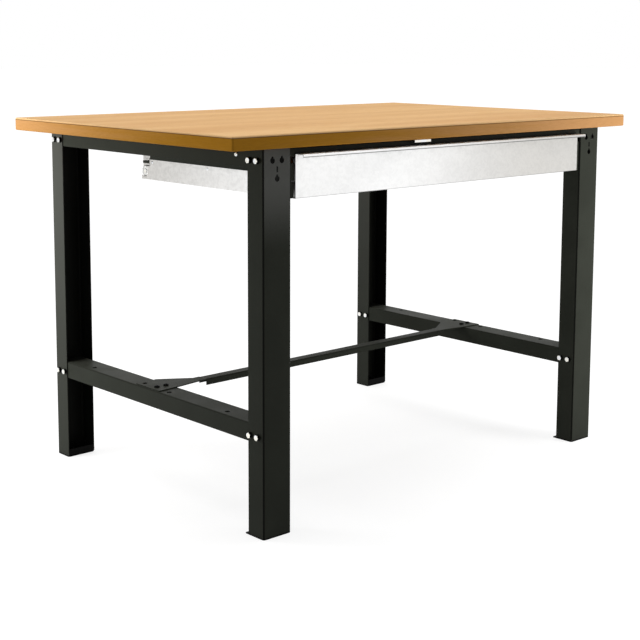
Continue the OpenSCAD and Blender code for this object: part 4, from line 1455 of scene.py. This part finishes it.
@dataclass
class Nodes:
    """A node tree with short calls to add and link nodes."""

    tree: bpy.types.NodeTree

    def add(self, kind: str, inputs: dict[str | int, object] | None = None,
            **settings: object) -> bpy.types.Node:
        """Add a node.

        Args:
            kind: The node's type, without its ShaderNode prefix.
            inputs: Values or sockets for its inputs, by name or number.
            settings: Its attributes.

        Returns:
            The node.
        """
        node = self.tree.nodes.new(f"ShaderNode{kind}")
        for name, value in settings.items():
            setattr(node, name, value)
        for key, value in (inputs or {}).items():
            socket = node.inputs[key]
            if isinstance(value, bpy.types.NodeSocket):
                self.tree.links.new(value, socket)
            else:
                socket.default_value = value
        return node

    def math(self, operation: str, first: object, second: object = 0.0) -> bpy.types.NodeSocket:
        """Return the result of a sum on one or two values."""
        return self.add("Math", {0: first, 1: second}, operation=operation).outputs[0]

    def product(self, first: object, second: object) -> bpy.types.NodeSocket:
        """Return one value times another."""
        return self.math("MULTIPLY", first, second)

    def split(self, vector: bpy.types.NodeSocket) -> bpy.types.bpy_prop_collection:
        """Return a vector's three parts."""
        return self.add("SeparateXYZ", {0: vector}).outputs

    def normal(self) -> bpy.types.NodeSocket:
        """Return the surface's normal."""
        return self.add("NewGeometry").outputs["Normal"]

    def away(self, centre: tuple[float, float, float]) -> bpy.types.NodeSocket:
        """Return the distance from a spot on the object, in metres."""
        return self.add("VectorMath", {0: self.place(), 1: centre},
                        operation="DISTANCE").outputs["Value"]

    def lead(self, value: bpy.types.NodeSocket, node: bpy.types.Node, name: str) -> None:
        """Lead a value into a node's input."""
        self.tree.links.new(value, node.inputs[name])

    def fall(self, value: object, limits: Flat, start: float = 1.0) -> bpy.types.NodeSocket:
        """Return a mask that falls from a start to 0 as a value crosses its limits."""
        return self.span(value, *limits, start, 0.0)

    def span(self, value: object, low: object, high: float, to_low: float = 0.0,
             to_high: float = 1.0) -> bpy.types.NodeSocket:
        """Return a value taken smoothly from one range to another.

        Args:
            value: The value.
            low: Where the first range starts.
            high: Where it ends.
            to_low: The result at its start.
            to_high: The result at its end.

        Returns:
            The result.
        """
        node = self.add("MapRange", {"Value": value, "From Min": low, "From Max": high,
                                     "To Min": to_low, "To Max": to_high},
                        interpolation_type="SMOOTHSTEP")
        return node.outputs["Result"]

    def mix(self, share: object, first: object, second: object,
            blend: str = "MIX") -> bpy.types.NodeSocket:
        """Return a mix of two colours.

        Args:
            share: The second colour's share.
            first: The first colour.
            second: The second colour.
            blend: The way of mixing.

        Returns:
            The mixed colour.
        """
        node = self.add("Mix", data_type="RGBA", blend_type=blend)
        for socket, value in ((node.inputs[0], share), (node.inputs[6], first),
                              (node.inputs[7], second)):
            if isinstance(value, bpy.types.NodeSocket):
                self.tree.links.new(value, socket)
            else:
                socket.default_value = value if isinstance(value, float) else (*value, 1.0)
        return node.outputs[2]

    def noise(self, place: object, scale: object, detail: float = 3.0,
              roughness: float = 0.5) -> bpy.types.NodeSocket:
        """Return a noise value at a place."""
        node = self.add("TexNoise", {"Vector": place, "Scale": scale, "Detail": detail,
                                     "Roughness": roughness})
        return node.outputs[0]

    def place(self, stretch: object = (1.0, 1.0, 1.0)) -> bpy.types.NodeSocket:
        """Return the object's own coordinates, stretched."""
        coordinates = self.add("TexCoord").outputs["Object"]
        return self.add("VectorMath", {0: coordinates, 1: stretch},
                        operation="MULTIPLY").outputs[0]


class Effect(Enum):
    """The effects that finishes share, one shader node group each."""

    GRAIN = "wood_grain"
    PEEL = "coat_ripple"
    SPANGLE = "zinc_spangle"
    WEAR_AND_SHADE = "edge_wear_and_shade"
    DUST = "settled_dust"
    RECESS_SHADE = "painted_recess_shade"
    BEND = "painted_fold_shade"


@dataclass
class Effects:
    """Builds the shared node groups and places them in materials."""

    groups: dict[Effect, bpy.types.NodeTree] = field(default_factory=dict)

    def group(self, effect: Effect, inputs: dict[str, float | tuple[float, float, float]],
              outputs: Sequence[str]) -> tuple[Nodes, bpy.types.Node, bpy.types.Node]:
        """Start a node group.

        Args:
            effect: The effect it makes.
            inputs: Its inputs, each with its default.
            outputs: Its outputs, all values.

        Returns:
            Its nodes, its input node and its output node.
        """
        tree = bpy.data.node_groups.new(effect.value, "ShaderNodeTree")
        for name, value in inputs.items():
            kind = "NodeSocketFloat" if isinstance(value, float) else "NodeSocketVector"
            socket = tree.interface.new_socket(name=name, in_out="INPUT", socket_type=kind)
            socket.default_value = value
        for name in outputs:
            tree.interface.new_socket(name=name, in_out="OUTPUT", socket_type="NodeSocketFloat")
        self.groups[effect] = tree
        return Nodes(tree), tree.nodes.new("NodeGroupInput"), tree.nodes.new("NodeGroupOutput")

    def build(self) -> None:
        """Build every group."""
        self.grain()
        self.peel()
        self.spangle()
        self.wear_and_shade()
        self.dust()
        self.recess_shade()
        self.bend()

    def grain(self) -> None:
        """Build the wood's fibres, broad bands and short pores."""
        nodes, given, result = self.group(
            Effect.GRAIN, {"Along": (1.0, 1.0, 1.0), "Bands": 6.0},
            ("Band", "Fibre", "Pore"))
        place = nodes.place(given.outputs["Along"])
        drift = nodes.noise(place, 2.2, 2.0)
        waved = nodes.add("VectorMath", {0: place, 1: nodes.add(
            "CombineXYZ", {0: 0.0, 1: nodes.product(drift, 0.35), 2: 0.0}).outputs[0]},
            operation="ADD").outputs[0]
        band = nodes.noise(waved, given.outputs["Bands"], 4.0, 0.55)
        fibre = nodes.noise(waved, 95.0, 4.0, 0.65)
        pore = nodes.span(nodes.noise(waved, 210.0, 1.0), 0.62, 0.72)
        for name, value in (("Band", nodes.span(band, 0.32, 0.68)),
                            ("Fibre", nodes.span(fibre, 0.3, 0.7)), ("Pore", pore)):
            nodes.lead(value, result, name)

    def peel(self) -> None:
        """Build the fine ripple of a baked coat."""
        nodes, given, result = self.group(Effect.PEEL, {"Scale": 520.0}, ("Height", "Patch"))
        place = nodes.place()
        fine = nodes.noise(place, given.outputs["Scale"], 1.5, 0.45)
        patch = nodes.noise(place, 9.0, 3.0)
        nodes.lead(fine, result, "Height")
        nodes.lead(nodes.span(patch, 0.3, 0.7), result, "Patch")

    def spangle(self) -> None:
        """Build the crystals of a zinc coat: a tone for each, their relief and broad cloud."""
        nodes, given, result = self.group(Effect.SPANGLE, {"Scale": 130.0},
                                          ("Tone", "Height", "Cloud"))
        place = nodes.place()
        push = nodes.add("TexNoise", {"Vector": place, "Scale": 60.0, "Detail": 2.0})
        offset = nodes.add("VectorMath", {0: push.outputs["Color"], 1: (0.012, 0.012, 0.012)},
                           operation="MULTIPLY").outputs[0]
        bent = nodes.add("VectorMath", {0: place, 1: offset}, operation="ADD").outputs[0]
        cells = nodes.add("TexVoronoi", {"Vector": bent, "Scale": given.outputs["Scale"]})
        tone = nodes.add("SeparateColor", {0: cells.outputs["Color"]}).outputs[0]
        fine = nodes.noise(bent, 420.0, 3.0)
        mixed = nodes.math("ADD", nodes.product(tone, 0.7), nodes.product(fine, 0.3))
        cloud = nodes.span(nodes.noise(nodes.place((1.0, 1.0, 2.4)), 5.5, 3.0, 0.6), 0.34, 0.66)
        for name, value in (("Tone", mixed), ("Height", cells.outputs["Distance"]),
                            ("Cloud", cloud)):
            nodes.lead(value, result, name)

    def wear_and_shade(self) -> None:
        """Build the mask of edges and folds, broken up by grit, used for wear on some finishes and
        painted shade on others.
        """
        nodes, given, result = self.group(Effect.WEAR_AND_SHADE, {"Reach": 0.001, "Grit": 160.0},
                                          ("Mask",))
        rounded = nodes.add("Bevel", {"Radius": given.outputs["Reach"]}, samples=4)
        true = nodes.normal()
        facing = nodes.add("VectorMath", {0: rounded.outputs[0], 1: true},
                           operation="DOT_PRODUCT").outputs["Value"]
        edge = nodes.span(nodes.math("SUBTRACT", 1.0, facing), 0.015, 0.2)
        broken = nodes.noise(nodes.place(), given.outputs["Grit"])
        mask = nodes.product(edge, nodes.span(broken, 0.3, 0.62, 0.25, 1.0))
        nodes.lead(mask, result, "Mask")

    def dust(self) -> None:
        """Build the mask of fine dust on what faces up."""
        nodes, given, result = self.group(Effect.DUST, {"Scale": 24.0}, ("Mask",))
        up = nodes.span(nodes.split(nodes.normal())["Z"], 0.55, 1.0)
        drift = nodes.noise(nodes.place(), given.outputs["Scale"], 5.0, 0.6)
        mask = nodes.product(up, nodes.span(drift, 0.32, 0.7, 0.35, 1.0))
        nodes.lead(mask, result, "Mask")

    def recess_shade(self) -> None:
        """Build the mask of narrow recesses, where painted shade darkens a coat."""
        nodes, given, result = self.group(Effect.RECESS_SHADE, {"Reach": 0.045}, ("Mask",))
        open_share = nodes.add("AmbientOcclusion", {"Distance": given.outputs["Reach"]},
                               samples=8).outputs["AO"]
        nodes.lead(nodes.fall(open_share, (0.25, 0.62)), result, "Mask")

    def bend(self) -> None:
        """Build the mask of round folds, where the surface looks between two axes."""
        nodes, given, result = self.group(Effect.BEND, {"Sharp": 0.9}, ("Mask",))
        size = nodes.add("VectorMath", {0: nodes.normal()}, operation="ABSOLUTE").outputs[0]
        axes = nodes.split(size)
        most = nodes.math("MAXIMUM", axes[0], nodes.math("MAXIMUM", axes[1], axes[2]))
        upright = nodes.span(axes[2], 0.1, 0.5, 1.0, 0.35)
        fold = nodes.span(most, given.outputs["Sharp"], 0.9985, 1.0, 0.0)
        nodes.lead(nodes.product(fold, upright), result, "Mask")

    def filled(self, nodes: Nodes, effect: Effect, inputs: dict[str, float | Colour]
               ) -> bpy.types.Node:
        """Place a group in a material with its own values.

        Args:
            nodes: The material's nodes.
            effect: The effect.
            inputs: Values for its inputs.

        Returns:
            The group's node.
        """
        node = nodes.add("Group", {}, node_tree=self.groups[effect])
        for name, value in inputs.items():
            node.inputs[name].default_value = value
        return node


@dataclass(frozen=True)
class Finish:
    """What every finish has: a name and the shader's plain values."""

    name: str
    roughness: float
    specular: float = 0.5
    metallic: float = 0.0

    def make(self, effects: Effects) -> bpy.types.Material:
        """Make the material.

        Args:
            effects: The shared node groups.

        Returns:
            The material.
        """
        material = bpy.data.materials.new(self.name)
        material.use_nodes = True
        nodes = Nodes(material.node_tree)
        shader = material.node_tree.nodes["Principled BSDF"]
        shader.inputs["Metallic"].default_value = self.metallic
        shader.inputs["Roughness"].default_value = self.roughness
        shader.inputs["Specular IOR Level"].default_value = self.specular
        self.dress(nodes, shader, effects)
        return material

    def dress(self, nodes: Nodes, shader: bpy.types.Node, effects: Effects) -> None:
        """Add the finish's own nodes."""
        raise NotImplementedError

    def relief(self, nodes: Nodes, shader: bpy.types.Node, height: bpy.types.NodeSocket,
               depth: float, strength: float = 1.0) -> None:
        """Raise the surface by a height.

        Args:
            nodes: The material's nodes.
            shader: The shader.
            height: The height, 0 to 1.
            depth: What 1 stands for, in metres.
            strength: The bump's strength.
        """
        bump = nodes.add("Bump", {"Height": height, "Distance": depth, "Strength": strength})
        nodes.lead(bump.outputs[0], shader, "Normal")


@dataclass(frozen=True)
class Wood(Finish):
    """Oiled beech: a pale top layer over a browner core, dark glue between them, with painted
    shade on the core towards one corner and a painted highlight on the top's arris.
    """

    pale: Colour = (0.806, 0.512, 0.238)
    warm: Colour = (0.70, 0.403, 0.174)
    fleck: Colour = (0.42, 0.21, 0.075)
    # painted highlight colour for the top's rounded arris
    arris_highlight: Colour = (0.84, 0.56, 0.28)
    # painted shade colour of the edges at the corner
    shaded_core: Colour = (0.50, 0.23, 0.017)
    far_core: Colour = (0.59, 0.312, 0.128)
    glue: Colour = (0.22, 0.11, 0.035)
    glue_z: Flat = (0.8448, 0.8464)
    glue_soft: float = 0.0002
    worn: Colour = (0.62, 0.55, 0.45)
    # the corner towards which painted shade darkens the board's edges
    corner: tuple[float, float, float] = (-0.65, -0.415, 0.835)

    def dress(self, nodes: Nodes, shader: bpy.types.Node, effects: Effects) -> None:
        """Lay the top layer with its painted highlight on the arris, the core and the glue line.
        """
        grain = effects.filled(nodes, Effect.GRAIN, {"Along": (0.16, 1.6, 1.6), "Bands": 5.0})
        top = nodes.mix(grain.outputs["Band"], self.pale, self.warm)
        streak = nodes.product(grain.outputs["Fibre"], 0.30)
        top = nodes.mix(streak, top, self.warm)
        fleck = nodes.product(grain.outputs["Pore"], 0.35)
        top = nodes.mix(fleck, top, self.fleck)
        # painted highlight on the arris faces that tilt upwards
        tilt = nodes.split(nodes.normal())[2]
        arris = nodes.product(nodes.span(tilt, 0.1, 0.4), nodes.fall(tilt, (0.86, 0.995)))
        top = nodes.mix(nodes.product(arris, 0.6), top, self.arris_highlight)
        core = self.core(nodes, effects)
        height = nodes.split(nodes.place())["Z"]
        low, high = self.glue_z
        above = nodes.span(height, high - self.glue_soft, high + self.glue_soft)
        below = nodes.span(height, low - self.glue_soft, low + self.glue_soft)
        colour = nodes.mix(below, core, self.glue)
        colour = nodes.mix(above, colour, top)
        nodes.lead(colour, shader, "Base Color")
        rough = nodes.span(grain.outputs["Fibre"], 0.0, 1.0, self.roughness - 0.05,
                           self.roughness + 0.1)
        nodes.lead(rough, shader, "Roughness")
        height_map = nodes.math("SUBTRACT", grain.outputs["Fibre"],
                                nodes.product(grain.outputs["Pore"], 0.8))
        self.relief(nodes, shader, height_map, 0.00012, 0.6)

    def core(self, nodes: Nodes, effects: Effects) -> bpy.types.NodeSocket:
        """Return the colour of the board's edges, with painted shade that darkens them towards one
        corner.
        """
        grain = effects.filled(nodes, Effect.GRAIN, {"Along": (0.5, 0.5, 9.0), "Bands": 7.0})
        # painted shade: the edges' colour darkens with nearness to the corner
        away = nodes.away(self.corner)
        shade_distance = nodes.math("ADD", away, nodes.product(
            nodes.math("SUBTRACT", grain.outputs["Band"], 0.5), 0.22))
        core = nodes.mix(nodes.span(shade_distance, 0.02, 1.15), self.shaded_core, self.far_core)
        lines = nodes.product(grain.outputs["Fibre"], 0.35)
        core = nodes.mix(lines, core, self.worn, "MULTIPLY")
        wear_and_shade = effects.filled(nodes, Effect.WEAR_AND_SHADE, {"Reach": 0.0018, "Grit": 70.0})
        return nodes.mix(nodes.product(wear_and_shade.outputs["Mask"], 0.25), core, self.far_core)


@dataclass(frozen=True)
class Coat(Finish):
    """A dark baked or moulded coat: fine ripple, dust, painted shade on edges, folds and recesses,
    and optionally a painted highlight and painted shade inside the legs.
    """

    colour: Colour = (0.034, 0.037, 0.029)
    patch: Colour = (0.028, 0.0305, 0.0235)
    dust: Colour = (0.11, 0.11, 0.10)
    # painted shade colour for edges, folds and recesses
    fold: Colour = (0.004, 0.0042, 0.0035)
    # painted highlight colour, paler than the coat
    haze: Colour = (0.135, 0.137, 0.127)
    dust_share: float = 0.2
    shade_share: float = 0.92
    highlight_share: float = 0.0
    ripple: float = 520.0
    depth: float = 0.00006
    facing: Flat = (-0.97, -0.75)
    front_x: Flat = (-0.4895, -0.4865)
    front_z: Flat = (0.60, 0.76)
    side_y: Flat = (0.358, 0.361)
    side_z: Flat = (0.0, 0.8)
    side_highlight: Flat = (0.06, 0.36)
    hollow_x: tuple[Flat, Flat] = ((0.4860, 0.4866), (0.5588, 0.5594))
    hollow_y: tuple[Flat, Flat] = ((0.352, 0.356), (0.4036, 0.4042))

    def dress(self, nodes: Nodes, shader: bpy.types.Node, effects: Effects) -> None:
        """Lay the coat, its dust, its painted highlight and the painted shade on its edges, folds,
        recesses and the legs' insides.
        """
        peel = effects.filled(nodes, Effect.PEEL, {"Scale": self.ripple})
        dust = effects.filled(nodes, Effect.DUST, {"Scale": 22.0})
        wear_and_shade = effects.filled(nodes, Effect.WEAR_AND_SHADE, {"Reach": 0.0016, "Grit": 150.0})
        recess_shade = effects.filled(nodes, Effect.RECESS_SHADE, {"Reach": 0.045})
        bend = effects.filled(nodes, Effect.BEND, {"Sharp": 0.9})
        colour = nodes.mix(peel.outputs["Patch"], self.patch, self.colour)
        settled = nodes.product(dust.outputs["Mask"], self.dust_share)
        colour = nodes.mix(settled, colour, self.dust)
        # painted shade on edges, recesses and folds
        dark = nodes.math("MAXIMUM", wear_and_shade.outputs["Mask"], nodes.math(
            "MAXIMUM", recess_shade.outputs["Mask"], bend.outputs["Mask"]))
        # painted highlight high on two legs' faces
        if self.highlight_share:
            highlight_mask = nodes.product(self.highlight_mask(nodes), self.highlight_share)
            colour = nodes.mix(highlight_mask, colour, self.haze)
            # painted shade inside the legs' C sections
            dark = nodes.math("MAXIMUM", dark, self.inside_shade(nodes))
        colour = nodes.mix(nodes.product(dark, self.shade_share), colour, self.fold)
        nodes.lead(colour, shader, "Base Color")
        rough = nodes.math("ADD", nodes.product(settled, 0.5),
                           nodes.span(peel.outputs["Patch"], 0.0, 1.0, self.roughness - 0.04,
                                      self.roughness + 0.05))
        nodes.lead(rough, shader, "Roughness")
        self.relief(nodes, shader, peel.outputs["Height"], self.depth)

    def highlight_mask(self, nodes: Nodes) -> bpy.types.NodeSocket:
        """Return the mask of the painted highlight high on two legs' faces.

        They are the front left leg's front and the back left leg's outer side.
        """
        where = nodes.split(nodes.place())
        looks = nodes.split(nodes.normal())
        front = nodes.product(nodes.fall(looks[1], self.facing),
                              nodes.fall(where[0], self.front_x))
        front = nodes.product(front, nodes.span(where[2], *self.front_z))
        side = nodes.product(nodes.fall(looks[0], self.facing),
                             nodes.span(where[1], *self.side_y))
        side = nodes.product(side, nodes.span(where[2], *self.side_z, *self.side_highlight))
        return nodes.math("MAXIMUM", front, side)

    def inside_shade(self, nodes: Nodes) -> bpy.types.NodeSocket:
        """Return the mask of the legs' insides, which take painted shade."""
        where = nodes.split(nodes.place())
        across = nodes.math("ABSOLUTE", where[0])
        deep = nodes.math("ABSOLUTE", nodes.math("SUBTRACT", where[1], MID_Y * MM))
        (in_x, out_x), (in_y, out_y) = self.hollow_x, self.hollow_y
        mask = nodes.product(nodes.span(across, *in_x), nodes.fall(across, out_x))
        return nodes.product(mask, nodes.product(nodes.span(deep, *in_y),
                                                 nodes.fall(deep, out_y)))


@dataclass(frozen=True)
class Galvanised(Finish):
    """Bright galvanised sheet with crystals and a broad cloud, a painted highlight, painted shade
    on its edges and painted shadow lines.
    """

    # painted highlight colour near one spot of the front
    bright: Colour = (0.96, 0.96, 0.955)
    plain: Colour = (0.70, 0.685, 0.655)
    dull: Colour = (0.46, 0.46, 0.465)
    # painted shade colour along the sheet's edges
    cut: Colour = (0.34, 0.34, 0.34)
    # painted shadow colour for the lines under the pull's lip and along the front's lower edge
    seam: Colour = (0.12, 0.12, 0.12)
    highlight_place: tuple[float, float, float] = (-0.29, -0.44, 0.74)
    crystals: float = 190.0
    crystal_share: float = 0.06
    cloud_share: float = 0.12
    depth: float = 0.000007
    lip_y: Flat = (-0.4215, -0.4205)
    lip_z: Flat = (0.8009, 0.8019)
    edge_y: Flat = (-0.3995, -0.3985)
    edge_z: Flat = (0.7140, 0.7150)

    def dress(self, nodes: Nodes, shader: bpy.types.Node, effects: Effects) -> None:
        """Lay the crystals, the cloud, the painted highlight, the painted edge shade and the
        painted shadow lines.
        """
        spangle = effects.filled(nodes, Effect.SPANGLE, {"Scale": self.crystals})
        wear_and_shade = effects.filled(nodes, Effect.WEAR_AND_SHADE, {"Reach": 0.0007, "Grit": 240.0})
        # painted highlight: brighter near one spot of the drawer's front
        away = nodes.away(self.highlight_place)
        base = nodes.mix(nodes.span(away, 0.08, 0.62), self.bright, self.plain)
        crystal = nodes.span(spangle.outputs["Tone"], 0.15, 0.85)
        share = nodes.math("ADD", nodes.product(crystal, self.crystal_share),
                           nodes.product(spangle.outputs["Cloud"], self.cloud_share))
        colour = nodes.mix(share, base, self.dull)
        # painted shade on the edges, then the painted shadow lines
        colour = nodes.mix(nodes.product(wear_and_shade.outputs["Mask"], 0.5), colour, self.cut)
        colour = nodes.mix(self.shadow_lines(nodes), colour, self.seam)
        nodes.lead(colour, shader, "Base Color")
        rough = nodes.span(crystal, 0.0, 1.0, self.roughness - 0.07, self.roughness + 0.09)
        nodes.lead(rough, shader, "Roughness")
        height = nodes.math("ADD", spangle.outputs["Height"],
                            nodes.product(spangle.outputs["Tone"], 0.5))
        self.relief(nodes, shader, height, self.depth, 0.5)

    def shadow_lines(self, nodes: Nodes) -> bpy.types.NodeSocket:
        """Return the mask of the painted shadow lines along the pull's lip and the front's lower
        edge.
        """
        where = nodes.split(nodes.place())
        lip = nodes.product(nodes.fall(where[1], self.lip_y),
                            nodes.fall(where[2], self.lip_z, 0.8))
        low = nodes.product(nodes.fall(where[1], self.edge_y),
                            nodes.fall(where[2], self.edge_z, 0.5))
        return nodes.math("MAXIMUM", lip, low)


@dataclass(frozen=True)
class Plated(Finish):
    """Bright zinc on small parts, faintly blue and gold, with fine tool marks."""

    cool: Colour = (0.90, 0.92, 0.95)
    gold: Colour = (0.93, 0.90, 0.80)
    dull: Colour = (0.55, 0.55, 0.55)

    def dress(self, nodes: Nodes, shader: bpy.types.Node, effects: Effects) -> None:
        """Lay the zinc."""
        spangle = effects.filled(nodes, Effect.SPANGLE, {"Scale": 700.0})
        tint = nodes.span(nodes.noise(nodes.place(), 90.0, 2.0), 0.35, 0.65)
        colour = nodes.mix(tint, self.cool, self.gold)
        colour = nodes.mix(nodes.product(spangle.outputs["Tone"], 0.18), colour, self.dull)
        nodes.lead(colour, shader, "Base Color")
        rough = nodes.span(spangle.outputs["Tone"], 0.1, 0.9, self.roughness - 0.05,
                           self.roughness + 0.1)
        nodes.lead(rough, shader, "Roughness")
        marks = nodes.noise(nodes.place((1.0, 1.0, 6.0)), 900.0, 2.0)
        self.relief(nodes, shader, marks, 0.00002, 0.5)


@dataclass(frozen=True)
class Nylon(Finish):
    """Moulded white nylon with a fine ripple and grey on its worn edges."""

    colour: Colour = (0.90, 0.90, 0.875)
    grey: Colour = (0.62, 0.62, 0.60)

    def dress(self, nodes: Nodes, shader: bpy.types.Node, effects: Effects) -> None:
        """Lay the nylon."""
        peel = effects.filled(nodes, Effect.PEEL, {"Scale": 900.0})
        wear_and_shade = effects.filled(nodes, Effect.WEAR_AND_SHADE, {"Reach": 0.001, "Grit": 300.0})
        colour = nodes.mix(nodes.product(wear_and_shade.outputs["Mask"], 0.6), self.colour, self.grey)
        nodes.lead(colour, shader, "Base Color")
        rough = nodes.span(peel.outputs["Patch"], 0.0, 1.0, self.roughness - 0.05,
                           self.roughness + 0.08)
        nodes.lead(rough, shader, "Roughness")
        self.relief(nodes, shader, peel.outputs["Height"], 0.00002)


def make_finishes() -> dict[Slot, bpy.types.Material]:
    """Build the shared effects and return the material of each slot."""
    effects = Effects()
    effects.build()
    finishes: dict[Slot, Finish] = {
        Slot.BOARD: Wood("oiled_beech", roughness=0.7, specular=0.1),
        Slot.PAINT: Coat("anthracite_coat", roughness=0.42, specular=0.04, dust_share=0.15,
                         highlight_share=1.0),
        Slot.GALVANISED: Galvanised("galvanised_steel", roughness=0.38, metallic=1.0),
        Slot.ZINC: Plated("bright_zinc", roughness=0.28, metallic=1.0),
        Slot.BLACK: Coat("black_oxide", roughness=0.38, specular=0.03, colour=(0.003,) * 3,
                         patch=(0.002,) * 3, ripple=1400.0, depth=0.00002, dust_share=0.03),
        Slot.PLASTIC: Coat("moulded_shoe", roughness=0.6, specular=0.05, colour=(0.003,) * 3,
                           patch=(0.004,) * 3, ripple=1100.0, depth=0.00005, shade_share=0.4,
                           dust_share=0.05),
        Slot.RUBBER: Coat("stop_rubber", roughness=0.75, specular=0.12, colour=(0.012,) * 3,
                          patch=(0.009,) * 3, ripple=1800.0, depth=0.00004, shade_share=0.3),
        Slot.NYLON: Nylon("white_nylon", roughness=0.38),
    }
    return {slot: finish.make(effects) for slot, finish in finishes.items()}


# Studio


@dataclass(frozen=True)
class SoftBox:
    """A square studio lamp that faces a point."""

    name: str
    place: tuple[float, float, float]
    aim: tuple[float, float, float]
    size: float
    power: float

    def hang(self) -> None:
        """Hang the lamp, out of the camera's sight and out of the metal's shine."""
        data = bpy.data.lights.new(self.name, "AREA")
        data.shape, data.size, data.energy = "SQUARE", self.size, self.power
        lamp = bpy.data.objects.new(self.name, data)
        lamp.location = self.place
        ahead = Vector(self.aim) - Vector(self.place)
        lamp.rotation_euler = ahead.to_track_quat("-Z", "Y").to_euler()
        lamp.visible_camera = lamp.visible_glossy = False
        bpy.context.scene.collection.objects.link(lamp)


@dataclass
class Studio:
    """The floor, the light and the camera."""

    camera_place: tuple[float, float, float] = (-2.28096, -2.46118, 1.03614)
    yaw: float = 0.7384835
    pitch: float = -0.1330894
    roll: float = 0.0038114
    lens: float = 75.321
    shift_y: float = -0.15625
    floor_half: float = 40.0
    floor_lift: float = 0.80
    floor_tone: float = 0.30
    ambient: float = 0.22
    key_power: float = 2.35
    key_turn: tuple[float, float, float] = (-14.0, 0.0, -28.0)
    key_size: float = 60.0
    boxes: tuple[SoftBox, ...] = (
        SoftBox("right_box", (0.95, -1.15, 0.5), (0.95, 0.0, 0.6), 0.6, 11.0),
        SoftBox("left_box", (-1.35, 0.8, 0.66), (0.0, 0.72, 0.68), 0.6, 12.5))

    def camera(self) -> None:
        """Place the camera where the photograph was taken from."""
        ahead = Vector((math.sin(self.yaw) * math.cos(self.pitch),
                        math.cos(self.yaw) * math.cos(self.pitch), math.sin(self.pitch)))
        right = Vector((math.cos(self.yaw), -math.sin(self.yaw), 0))
        up = right.cross(ahead)
        across = right * math.cos(self.roll) + up * math.sin(self.roll)
        upright = -right * math.sin(self.roll) + up * math.cos(self.roll)
        data = bpy.data.cameras.new("photo_camera")
        data.lens, data.shift_y = self.lens, self.shift_y
        data.clip_start, data.clip_end = 0.05, 200
        camera = bpy.data.objects.new("photo_camera", data)
        bpy.context.scene.collection.objects.link(camera)
        turn = Matrix((across, upright, -ahead)).transposed().to_4x4()
        camera.matrix_world = Matrix.Translation(self.camera_place) @ turn
        bpy.context.scene.camera = camera

    def seen(self, nodes: Nodes) -> bpy.types.NodeSocket:
        """Return a mask that is 1 for what is seen straight, in gloss or through glass."""
        path = nodes.add("LightPath").outputs
        shown = nodes.math("MAXIMUM", path["Is Camera Ray"], path["Is Glossy Ray"])
        return nodes.math("MAXIMUM", shown, path["Is Transmission Ray"])

    def world(self) -> None:
        """Light the scene softly from all round, and show white behind it."""
        world = bpy.data.worlds.new("white_room")
        bpy.context.scene.world = world
        world.use_nodes = True
        world.node_tree.nodes.clear()
        nodes = Nodes(world.node_tree)
        strength = nodes.span(self.seen(nodes), 0.0, 1.0, self.ambient, 1.0)
        light = nodes.add("Background", {"Color": (1, 1, 1, 1), "Strength": strength})
        nodes.add("OutputWorld", {"Surface": light.outputs[0]})

    def floor(self) -> None:
        """Lay the pale floor."""
        half = self.floor_half
        mesh = bpy.data.meshes.new("studio_floor")
        mesh.from_pydata([(-half, -half, 0), (half, -half, 0), (half, half, 0), (-half, half, 0)],
                         [], [(0, 1, 2, 3)])
        floor = bpy.data.objects.new("studio_floor", mesh)
        bpy.context.scene.collection.objects.link(floor)
        material = bpy.data.materials.new("pale_floor")
        material.use_nodes = True
        material.node_tree.nodes.clear()
        nodes = Nodes(material.node_tree)
        matt = nodes.add("BsdfDiffuse", {"Color": (*(self.floor_tone,) * 3, 1)})
        lift = nodes.product(self.seen(nodes), self.floor_lift)
        glow = nodes.add("Emission", {"Color": (1, 1, 1, 1), "Strength": lift})
        both = nodes.add("AddShader", {0: matt.outputs[0], 1: glow.outputs[0]})
        nodes.add("OutputMaterial", {"Surface": both.outputs[0]})
        mesh.materials.append(material)

    def lamps(self) -> None:
        """Hang the soft main light and the boxes at the front right and the back left."""
        data = bpy.data.lights.new("main_light", "SUN")
        data.energy, data.angle = self.key_power, math.radians(self.key_size)
        lamp = bpy.data.objects.new("main_light", data)
        lamp.rotation_euler = [math.radians(a) for a in self.key_turn]
        bpy.context.scene.collection.objects.link(lamp)
        for box in self.boxes:
            box.hang()

    def build(self) -> None:
        """Set up the studio."""
        scene = bpy.context.scene
        scene.view_settings.view_transform = "Standard"
        self.camera()
        self.world()
        self.floor()
        self.lamps()
        LOG.info("made the studio")


def main() -> None:
    logging.basicConfig(level=logging.INFO, format="%(name)s: %(message)s")
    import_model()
    Studio().build()
    shop = Workshop(make_finishes())
    for part in (Board(), Legs(), Feet(), EndBeams(), TopRails(), Brace(), Runners(),
                 Rollers(), Drawer(), Clip(), Fasteners()):
        part.build(shop)
    LOG.info("made %d pieces", shop.made)


if __name__ == "__main__":
    main()
